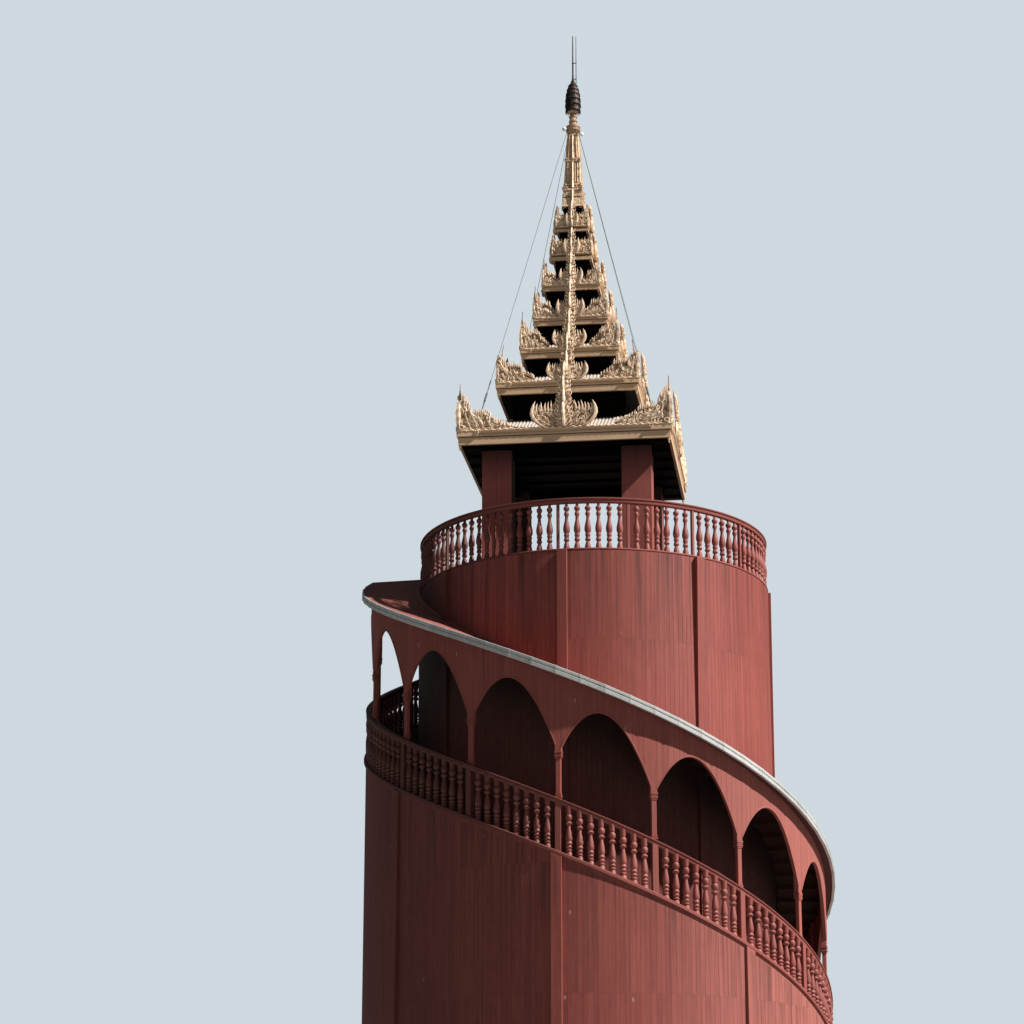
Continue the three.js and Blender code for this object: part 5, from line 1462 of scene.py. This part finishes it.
PITCH = 0.072
for i, (a, z0, f, fl, b, sl, L, hc, tip, wc, hm, hp, wp) in enumerate(TIERS):
    rng = random.Random(700 + i)
    nxt = TIERS[i + 1] if i + 1 < len(TIERS) else None
    z1 = z0 + f
    ztop = nxt[1] if nxt else SPIRE_Z
    rise = (a - 0.06 - b) * sl
    k = f / 0.315
    zl = z0 + fl
    fu = f - fl
    cols, rel, fcols, frel = FIELDS[i]
    gold = Piece(f"tier_{i + 1}_gilding")
    band = Piece(f"tier_{i + 1}_eave_boards")
    iron = Piece(f"tier_{i + 1}_sheeting")
    dark = Piece(f"tier_{i + 1}_storey")
    for q in range(4):
        F = side(q)
        # plain lower band
        edge_prism(band, F, [(a - 0.055, z0), (a - 0.006, z0), (a, z0 + 0.006), (a, zl - 0.004), (a - 0.006, zl), (a - 0.055, zl)], [0.15, 0.60, 0.80, 0.80, 0.4, 0.1])
        if L:
            # cove over a dark quirk, then a crown that carries a waved bead
            o = 0.045 * k
            prof = [(a - 0.060, zl + 0.0005), (a - 0.026, zl + 0.0005), (a - 0.026, zl + 0.10 * fu), (a + 0.002, zl + 0.12 * fu), (a + 0.006, zl + 0.22 * fu), (a + 0.002, zl + 0.38 * fu), (a + 0.008, zl + 0.56 * fu),
                    (a + o * 0.48, zl + 0.72 * fu), (a + o * 0.60, zl + 0.84 * fu), (a + o * 0.60, z1), (a - 0.060, z1)]
            edge_prism(band, F, prof, [0.0, 0.02, 0.15, 0.92, 0.80, 0.42, 0.66, 1.0, 0.9, 0.5, 0.2])
            n = int(2 * a / (0.030 * (0.6 + 0.4 * k)))
            vs, fs, tn = [], [], []
            sides = 6
            for j in range(n + 1):
                x = -a - o * 0.75 + (2 * a + o * 1.5) * j / n
                wv = math.sin(j * 2 * math.pi / 4.6 + i)
                r = (0.0180 + 0.0095 * wv) * (0.45 + 0.55 * k)
                for e in range(sides):
                    an = 2 * math.pi * e / sides
                    vs.append(F(x, a + o * 0.62 + 0.017 * (0.45 + 0.55 * k) * math.cos(an), z1 - 0.018 * k + 0.011 * wv * k + r * math.sin(an)))
            for j in range(n):
                for e in range(sides):
                    fs.append((j * sides + e, j * sides + (e + 1) % sides, (j + 1) * sides + (e + 1) % sides, (j + 1) * sides + e))
                    tn.append(0.80 + 0.34 * math.sin(j * 2 * math.pi / 4.6 + i))
            fs += [tuple(range(sides - 1, -1, -1)), tuple(n * sides + e for e in range(sides))]
            tn += [0.5, 0.5]
            gold.add(vs, fs, None, tn)
            for sgn in (-1, 1):
                crest_half(gold, F, a, z1, L, hc, sgn, i, rng, cols, rel)
                # plain plate that wraps the corner, with a pointed inner end
                x0, x1 = a + 0.034 * k, a - 0.40 * L / 1.16
                za, zc = zl + 0.16 * fu, z1 + 0.012 * k
                zm = (za + zc) / 2
                vs = [F(sgn * x, d, z) for d in (a + 0.034 * k, a - 0.03) for x, z in ((min(x0, d), za), (x1, za), (x1 - 0.045 * k, zm), (x1, zc), (min(x0, d), zc))]
                band.add(vs, [(0, 1, 2, 3, 4), (9, 8, 7, 6, 5), (0, 5, 6, 1), (1, 6, 7, 2), (2, 7, 8, 3), (3, 8, 9, 4), (4, 9, 5, 0)], None, 0.86)
                cxs, czs, R = x1 + 0.006 * k, zm, 0.040 * k
                blade(gold, lambda x, d, z, sgn=sgn: F(sgn * x, d, z), spiral(cxs, czs, R, R * 0.3, 0.6, 1.3, 12), taper(13, 0.014 * k, 0.006 * k), 0.022 * k, 0.012, a + 0.036 * k, 0.9)
        else:
            edge_prism(band, F, [(a - 0.060, zl + 0.0005), (a - 0.030, zl + 0.0005), (a - 0.030, z1 - 0.012), (a + 0.012, z1 - 0.010), (a + 0.012, z1), (a - 0.060, z1)], [0.0, 0.0, 0.05, 0.7, 0.6, 0.2])
            full_plate(gold, F, a, z1, hc, tip, i, rng, cols, rel)
        fan(gold, F, a + (0.0 if L else 0.030), z1, wc, hm, i, rng, fcols, frel)
        pole(gold, F, a + (0.03 if L else 0.022), z1, hp * (0.60 if i == 0 and q == 3 else 1.0), wp, i)
        # corrugated sheet from the crown up to the storey
        zs0, zs1 = z1 - 0.012, z1 - 0.012 + rise
        d_out, d_in = a - 0.03, b - 0.005
        nw = int(2 * d_out / PITCH)
        ncol = nw * 4
        xs = [-d_out + 2 * d_out * j / ncol for j in range(ncol + 1)]
        rows = [0.0, 0.35, 0.7, 1.0]
        amp = 0.012
        grid, under = [], []
        for j, x in enumerate(xs):
            ph = (0.0, 1.0, 0.0, -1.0)[j % 4]
            lim = max(abs(x), d_in)
            for v in rows:
                d = d_out + (lim - d_out) * v
                z = zs0 + (zs1 - zs0) * (d_out - d) / (d_out - d_in)
                grid.append(F(x, d, z + amp * ph))
                under.append(F(x, d, z - 0.03))
        m = len(rows)
        nv = len(grid)
        fs = []
        for j in range(ncol):
            for r in range(m - 1):
                q0 = j * m + r
                fs.append((q0, q0 + 1, q0 + 1 + m, q0 + m))
                fs.append((nv + q0 + m, nv + q0 + 1 + m, nv + q0 + 1, nv + q0))
            q0 = j * m
            fs.append((q0 + m, nv + q0 + m, nv + q0, q0))
            q0 = j * m + m - 1
            fs.append((q0, nv + q0, nv + q0 + m, q0 + m))
        for j in (0, ncol):
            fs.append(tuple(j * m + r for r in range(m)) + tuple(nv + j * m + r for r in range(m - 1, -1, -1)))
        iron.add(grid + under, fs, None, 0.55)
        # storey wall: posts, rails and sunk boards
        zb0, zb1 = zs1 - 0.10, ztop - 0.0006
        pw = 0.11 * (0.45 + 0.55 * b / 1.2)
        nb = max(3, round(2 * b / 0.16))
        for j in range(nb):
            x0 = -b + 2 * b * j / nb
            pbox(dark, x0 + 0.001, x0 + 2 * b / nb - 0.001, -b + 0.045, -b + 0.075, zb0, zb1, rng.uniform(0, 30), min(max(rng.gauss(0.45, 0.2), 0), 1), q)
        for x0 in (-b, b - pw):
            pbox(dark, x0, x0 + pw, -b, -b + pw, zb0, zb1, 2.0, 0.55, q)
        if b > 0.55:
            for frac in (0.36, 0.64):
                pbox(dark, -b + 2 * b * frac - pw * 0.35, -b + 2 * b * frac + pw * 0.35, -b + 0.01, -b + 0.05, zb0, zb1, 3.0, 0.5, q)
        pbox(dark, -b + pw, b - pw, -b + 0.008, -b + 0.05, zb1 - pw * 0.9, zb1, 4.0, 0.5, q, grain="x")
        pbox(dark, -b + pw, b - pw, -b + 0.008, -b + 0.05, zs1 + 0.02, zs1 + 0.02 + pw * 0.8, 5.0, 0.5, q, grain="x")
    for q in range(4):
        # hip cover of the sheeting
        cx, cy = ((1, -1), (1, 1), (-1, 1), (-1, -1))[q]
        A = Vector(pav(cx * (a - 0.03), cy * (a - 0.03), z1 - 0.004))
        B = Vector(pav(cx * b, cy * b, z1 - 0.004 + rise))
        dr = (B - A).normalized()
        across = Vector((-dr.y, dr.x, 0)).normalized()
        upv = across.cross(dr)
        if upv.z < 0:
            upv = -upv
        wd = 0.05 * (0.5 + 0.5 * k)
        vs = []
        for P in (A, B):
            for u, v in ((-1, -0.3), (-0.55, 0.32), (0, 0.52), (0.55, 0.32), (1, -0.3)):
                vs.append(tuple(P + across * wd * u + upv * wd * v))
        iron.add(vs, [(0, 1, 6, 5), (1, 2, 7, 6), (2, 3, 8, 7), (3, 4, 9, 8), (4, 0, 5, 9), (4, 3, 2, 1, 0), (5, 6, 7, 8, 9)], None, 0.4)
        corner_flame(gold, q, a, z1, tip, i)
        # drop under the corner
        x, y, z = pav(cx * (a - 0.035), cy * (a - 0.035), z0)
        turned(gold, x, y, z, [(0.004, -0.115 * k), (0.018 * k, -0.085 * k), (0.012 * k, -0.065 * k), (0.030 * k, -0.045 * k), (0.024 * k, -0.018 * k), (0.034 * k, 0.004)], 8, 1.0, 0.6)
    # closed soffit under the eave, boarded, with bearers
    d_lim = a - 0.056
    nb = max(3, round(2 * d_lim / 0.17))
    for j in range(nb):
        x0 = -d_lim + 2 * d_lim * j / nb
        x1 = x0 + 2 * d_lim / nb
        pbox(dark, x0 + 0.001, x1 - 0.001, -d_lim, d_lim, z0 + 0.020, z0 + 0.050, rng.uniform(0, 30), min(max(rng.gauss(0.4, 0.2), 0), 1), 0, 0.002, "y")
    if i == 0:
        for j in range(7):
            y = -1.95 + 3.9 * j / 6
            pbox(dark, -d_lim + 0.02, d_lim - 0.02, y - 0.045, y + 0.045, z0 - 0.022, z0 + 0.0195, j, 0.08, 0, 0.006, "x")
        for sy in (-1, 1):
            pbox(dark, -1.80, 1.80, sy * 1.435 - 0.11, sy * 1.435 + 0.11, z0 - 0.13, z0 - 0.0225, 9.0, 0.05, 0, 0.010, "x")
            pbox(dark, sy * 1.435 - 0.11, sy * 1.435 + 0.11, -1.32, 1.32, z0 - 0.13, z0 - 0.0225, 9.0, 0.05, 0, 0.010, "y")
    gold.done(GOLD, f"roof_tier_{i + 1}", "gilded_work", 40)
    band.done(BAND, f"roof_tier_{i + 1}", "gilded_work", 40)
    iron.done(SHEET, f"roof_tier_{i + 1}", "roof_iron", 50)
    # soffits, bearers and storeys in near-black painted shade
    dark.done(PAINTED_SHADE_DARK, f"roof_tier_{i + 1}", "dark_timber", 30)

# ---------------------------------------------------------------- spire, finial and stays
p = Piece("spire_gilding")
square_body(p, [(0.150, 8.7625), (0.150, 8.784), (0.234, 8.785), (0.240, 8.796), (0.236, 8.806), (0.2225, 8.880), (0.208, 9.004), (0.186, 9.008), (0.186, 9.030), (0.208, 9.036), (0.202, 9.080), (0.205, 9.165), (0.196, 9.172),
                (0.214, 9.182), (0.216, 9.200), (0.212, 9.222), (0.178, 9.228), (0.174, 9.248), (0.190, 9.256), (0.188, 9.288), (0.172, 9.296), (0.172, 9.312), (0.182, 9.320), (0.176, 9.352), (0.160, 9.362),
                (0.157, 9.380), (0.150, 9.880), (0.166, 9.890), (0.168, 9.918), (0.150, 9.930), (0.158, 9.942), (0.158, 9.962), (0.144, 9.982), (0.107, 10.520), (0.118, 10.530), (0.118, 10.556), (0.104, 10.566), (0.108, 10.600), (0.100, 10.620), (0.100, 10.6588)],
            0.5, [0.05, 0.1, 0.5, 0.75, 0.62, 0.66, 0.66, 0.1, 0.1, 0.55, 0.60, 0.62, 0.2, 0.75, 0.8, 0.7, 0.1, 0.1, 0.5, 0.5, 0.1, 0.1, 0.6, 0.6, 0.3, 0.40, 0.15, 0.6, 0.7, 0.1, 0.6, 0.6, 0.46, 0.2, 0.7, 0.6, 0.3, 0.5, 0.5])
for q in range(4):
    F = side(q)
    # little posts round the open base
    for x in (-0.17, -0.06, 0.06, 0.17):
        vs = []
        for z in (8.7626, 8.7850):
            vs += [F(x - 0.014, 0.200, z), F(x + 0.014, 0.200, z), F(x + 0.014, 0.152, z), F(x - 0.014, 0.152, z)]
        p.add(vs, [(0, 1, 2, 3), (4, 7, 6, 5), (0, 4, 5, 1), (1, 5, 6, 2), (2, 6, 7, 3), (3, 7, 4, 0)], None, 0.6)
    # reeds on the long panels
    for x0, (za, ha), (zb, hb), w in ((-0.70, (9.39, 0.156), (9.872, 0.150), 0.016), (-0.36, (9.39, 0.156), (9.872, 0.150), 0.013), (0.36, (9.39, 0.156), (9.872, 0.150), 0.013), (0.70, (9.39, 0.156), (9.872, 0.150), 0.016),
                                     (-0.66, (9.99, 0.142), (10.51, 0.108), 0.012), (0.66, (9.99, 0.142), (10.51, 0.108), 0.012)):
        vs = []
        for z, h in ((za, ha), (zb, hb)):
            x = x0 * h
            vs += [F(x - w * h / 0.15, h - 0.004, z), F(x, h + 0.016, z), F(x + w * h / 0.15, h - 0.004, z)]
        p.add(vs, [(0, 1, 4, 3), (1, 2, 5, 4), (2, 0, 3, 5), (2, 1, 0), (3, 4, 5)], None, 0.7)
    # raised keel up the middle, in three lengths; its right front face carries a painted highlight and its left front
    # face painted shade
    for (za, ha), (zb, hb), w in (((9.25, 0.192), (9.882, 0.152), 0.046), ((9.96, 0.150), (10.52, 0.110), 0.040), ((8.80, 0.236), (9.20, 0.212), 0.042)):
        vs, fs, tn = [], [], []
        n = 6
        for j in range(n + 1):
            u = j / n
            z, h = za + (zb - za) * u, ha + (hb - ha) * u
            e = w * (0.62 if j in (0, n) else 0.5 if j % 2 else 0.36)
            vs += [F(-e, h - 0.006, z), F(-e * 0.2, h + 0.030, z), F(e, h - 0.006, z), F(0, h - 0.03, z)]
        for j in range(n):
            for e in range(4):
                fs.append((j * 4 + e, j * 4 + (e + 1) % 4, (j + 1) * 4 + (e + 1) % 4, (j + 1) * 4 + e))
                tn.append((0.4, 0.95, 0.4, 0.4)[e])
        fs += [(3, 2, 1, 0), tuple(n * 4 + e for e in range(4))]
        tn += [0.5, 0.5]
        p.add(vs, fs, None, tn)
    # leaves at the bands and down the edges
    for z, h, s in ((9.205, 0.214, 1.0), (9.300, 0.186, 0.8), (9.50, 0.155, 0.8), (9.70, 0.152, 0.8), (9.905, 0.166, 0.8), (10.545, 0.116, 0.5)):
        for sg in (-1, 1):
            G = lambda x, d, zz, sg=sg: F(sg * x, d, zz)
            blade(p, G, bez((h - 0.016, z - 0.03), (h + 0.004, z + 0.03 * s), (h + 0.024 * s, z + 0.075 * s), 4), [0.016 * s, 0.018 * s, 0.014 * s, 0.009 * s, 0.002], 0.018, 0.018, h - 0.012, 0.6)
            if z < 9.4 or z > 9.85:
                blade(p, G, bez((h * 0.5, z - 0.02), (h * 0.5 - 0.01, z + 0.02 * s), (h * 0.5 + 0.006, z + 0.045 * s), 4), [0.012 * s, 0.014 * s, 0.010 * s, 0.006 * s, 0.002], 0.014, 0.014, h - 0.008, 0.75)
p.done(GOLD, "spire", "gilded_work", 40)

cx, cy, _ = pav(0, 0, 0)
p = Piece("finial_neck")
neck = [(0.0005, 10.6605), (0.106, 10.661), (0.112, 10.690), (0.094, 10.710), (0.090, 10.760), (0.104, 10.775), (0.106, 10.800), (0.088, 10.815), (0.084, 10.870), (0.098, 10.885), (0.098, 10.905), (0.080, 10.920),
        (0.078, 10.985), (0.092, 11.000), (0.092, 11.020), (0.076, 11.035), (0.076, 11.095), (0.100, 11.112), (0.120, 11.130), (0.122, 11.150), (0.0005, 11.152)]
turned(p, cx, cy, H, neck, 20, 1.0, [0.30 if j % 3 else 0.08 for j in range(len(neck) - 1) for _ in range(20)] + [0.3, 0.3])
p.done(GOLD, "finial", "gilded_work", 40)
p = Piece("tiered_finial")
lev = [(11.150, 0.170, 0.152, 0.150), (11.290, 0.176, 0.154, 0.140), (11.420, 0.172, 0.144, 0.130), (11.540, 0.160, 0.126, 0.120), (11.650, 0.138, 0.098, 0.110), (11.745, 0.108, 0.052, 0.110)]
for z, r0, r1, h in lev:
    turned(p, cx, cy, H, [(0.0005, z + 0.012), (r0 - 0.016, z + 0.010), (r0 - 0.004, z), (r0, z + 0.008), (r0 - 0.002, z + 0.022), (r0 * 0.55 + r1 * 0.45, z + h * 0.45), (r1, z + h * 0.85), (r1 - 0.01, z + h + 0.02), (0.0005, z + h + 0.021)], 24, z, 0.45)
    nd = max(8, int(2 * math.pi * r0 / 0.048))
    for j in range(nd):
        an = 2 * math.pi * j / nd + z
        x, y = cx + (r0 - 0.006) * math.cos(an), cy + (r0 - 0.006) * math.sin(an)
        turned(p, x, y, H + z, [(0.001, -0.052), (0.008, -0.038), (0.010, -0.022), (0.004, -0.006), (0.006, 0.006), (0.001, 0.012)], 6, 1.0, 0.75 if j % 2 else 0.5)
turned(p, cx, cy, H, [(0.0005, 11.80), (0.046, 11.802), (0.050, 11.83), (0.030, 11.86), (0.036, 11.89), (0.024, 11.92), (0.018, 12.00), (0.020, 12.02), (0.017, 12.04), (0.0155, 12.30), (0.020, 12.31), (0.020, 12.33), (0.0145, 12.345),
                      (0.012, 12.70), (0.009, 12.9924), (0.0004, 12.9929)], 12, 2.0, 0.35)
# second thin rod beside the first, with its clips
rx, ry = cx + 0.072, cy - 0.02
turned(p, rx, ry, H, [(0.0085, 11.20), (0.0085, 11.95), (0.007, 12.5), (0.0055, 12.965), (0.0005, 12.968)], 8, 3.0, 0.3)
for z in (11.16, 11.93, 12.32):
    d = Vector((rx - cx, ry - cy, 0)).normalized()
    n_ = Vector((-d.y, d.x, 0))
    block(p, (cx, cy, H + z), (0, 0, 1), tuple(n_), tuple(d), 0.018, 0.012, 0.005, 0.086, 1.0, 0.3, 0.002)
p.done(IRON, "finial", "dark_iron", 30)

p = Piece("stay_collar")
cz0 = H + 10.664
turned(p, cx, cy, 0.0, [(0.119, cz0), (0.158, cz0), (0.1595, cz0 + 0.010), (0.1595, cz0 + 0.045), (0.150, cz0 + 0.055), (0.150, cz0 + 0.066), (0.1595, cz0 + 0.076), (0.1595, cz0 + 0.108), (0.156, cz0 + 0.1155), (0.119, cz0 + 0.1155)], 20, 1.0, 0.22)
p.done(GOLD, "stay_cables", "gilded_work", 40)
p = Piece("stays")
for q in range(4):
    sx, sy = ((1, -1), (1, 1), (-1, 1), (-1, -1))[q]
    A = Vector(pav(sx * 0.146 / math.sqrt(2), sy * 0.146 / math.sqrt(2), 10.70))
    B = Vector(pav(sx * 1.850, sy * 1.850, 3.268))
    d = (B - A).normalized()
    u = d.orthogonal().normalized()
    w = d.cross(u)
    L_ = (B - A).length
    # cable of eight sides, thickened at its fittings near the lower end
    prof = [(0.0, 0.0050), (L_ - 1.15, 0.0050), (L_ - 1.14, 0.014), (L_ - 1.08, 0.016), (L_ - 1.02, 0.012), (L_ - 0.84, 0.010), (L_ - 0.82, 0.021), (L_ - 0.60, 0.021), (L_ - 0.58, 0.012), (L_ - 0.30, 0.012), (L_ - 0.28, 0.022), (L_ - 0.10, 0.022), (L_ - 0.08, 0.011), (L_, 0.011)]
    vs, fs = [], []
    ns = 8
    for s, r in prof:
        for j in range(ns):
            an = 2 * math.pi * j / ns
            vs.append(tuple(A + d * s + u * r * math.cos(an) + w * r * math.sin(an)))
    for i in range(len(prof) - 1):
        for j in range(ns):
            fs.append((i * ns + j, i * ns + (j + 1) % ns, (i + 1) * ns + (j + 1) % ns, (i + 1) * ns + j))
    fs += [tuple(range(ns - 1, -1, -1)), tuple((len(prof) - 1) * ns + j for j in range(ns))]
    p.add(vs, fs, None, 0.5)
p.done(STEEL, "stay_cables", "steel_cable", 30)

# two small lamps on the collar
lamp = Mat("lamp_glass")
lp = lamp.n("ShaderNodeTexCoord").outputs["Object"]
ln = lamp.noise(lp, 40.0, 3.0, 0.6)
LAMP = lamp.end(lamp.ramp(ln, [(0.2, (0.80, 0.82, 0.82)), (0.8, (0.94, 0.95, 0.95))]), lamp.range(ln, 0.3, 0.7, 0.35, 0.2))
p = Piece("collar_lamps")
for ang in (-160.0, 25.0):
    an = math.radians(ang)
    x, y = cx + 0.205 * math.cos(an), cy + 0.205 * math.sin(an) - 0.04
    turned(p, x, y, H + (10.64 if ang < 0 else 10.58), [(0.012, 0.0), (0.042, 0.012), (0.050, 0.036), (0.046, 0.060), (0.026, 0.078), (0.010, 0.088), (0.010, 0.100)], 12, 1.0, 0.6)
p.done(LAMP, None, "steel_cable", 40)

# ---------------------------------------------------------------- stage, light and camera
me = bpy.data.meshes.new("floor")
me.from_pydata([(-400, -400, 0), (400, -400, 0), (400, 400, 0), (-400, 400, 0)], [], [(0, 1, 2, 3)])
floor = bpy.data.objects.new("floor", me)
bpy.context.scene.collection.objects.link(floor)
fm = Mat("floor_paint")
fc = fm.n("ShaderNodeTexCoord").outputs["Object"]
fn = fm.noise(fc, 0.15, 3.0, 0.5)
me.materials.append(fm.end(fm.ramp(fn, [(0.3, (0.24, 0.24, 0.235)), (0.7, (0.26, 0.26, 0.255))]), fm.range(fn, 0.2, 0.8, 0.75, 0.85)))

world = bpy.data.worlds.new("studio")
bpy.context.scene.world = world
world.use_nodes = True
bg = world.node_tree.nodes["Background"]
bg.inputs[0].default_value = (0.73, 0.87, 0.97, 1.0)
# the backdrop is pale to the eye, and gives only a low fill
wn = world.node_tree
pale = wn.nodes.new("ShaderNodeBackground")
pale.inputs[0].default_value = (0.62, 0.69, 0.74, 1.0)
pale.inputs[1].default_value = 1.0
seen = wn.nodes.new("ShaderNodeLightPath")
both = wn.nodes.new("ShaderNodeMixShader")
wn.links.new(seen.outputs["Is Camera Ray"], both.inputs[0])
wn.links.new(bg.outputs[0], both.inputs[1])
wn.links.new(pale.outputs[0], both.inputs[2])
wn.links.new(both.outputs[0], wn.nodes["World Output"].inputs[0])
bg.inputs[1].default_value = 0.095

sun = bpy.data.lights.new("key", "SUN")
sun.energy = 6.1
sun.angle = math.radians(1.6)
sun.color = (1.0, 0.955, 0.90)
so = bpy.data.objects.new("key", sun)
bpy.context.scene.collection.objects.link(so)
az, el = math.radians(-71.0), math.radians(45.0)
to_sun = Vector((-math.sin(az) * math.cos(el), -math.cos(az) * math.cos(el), math.sin(el)))
so.rotation_euler = (-to_sun).to_track_quat("-Z", "Y").to_euler()

pitch, yaw, roll = 0.296395, 0.02966, 0.00119
fwd = Vector((-math.sin(yaw), math.cos(yaw), 0))
rgt = Vector((math.cos(yaw), math.sin(yaw), 0))
up = Vector((0, 0, 1))
look = fwd * math.cos(pitch) + up * math.sin(pitch)
u = up * math.cos(pitch) - fwd * math.sin(pitch)
r3 = rgt * math.cos(roll) + u * math.sin(roll)
u3 = u * math.cos(roll) - rgt * math.sin(roll)
cam = bpy.data.cameras.new("camera")
cam.lens = 100.16
cam.sensor_width = 36.0
cam.clip_end = 1000
co = bpy.data.objects.new("camera", cam)
bpy.context.scene.collection.objects.link(co)
m4 = Matrix.Identity(4)
for i in range(3):
    m4[i][0], m4[i][1], m4[i][2] = r3[i], u3[i], -look[i]
m4.translation = Vector((0.0, -57.697, 1.6486))
co.matrix_world = m4
bpy.context.scene.camera = co

bpy.context.scene.view_settings.view_transform = "Standard"
bpy.context.scene.view_settings.look = "None"
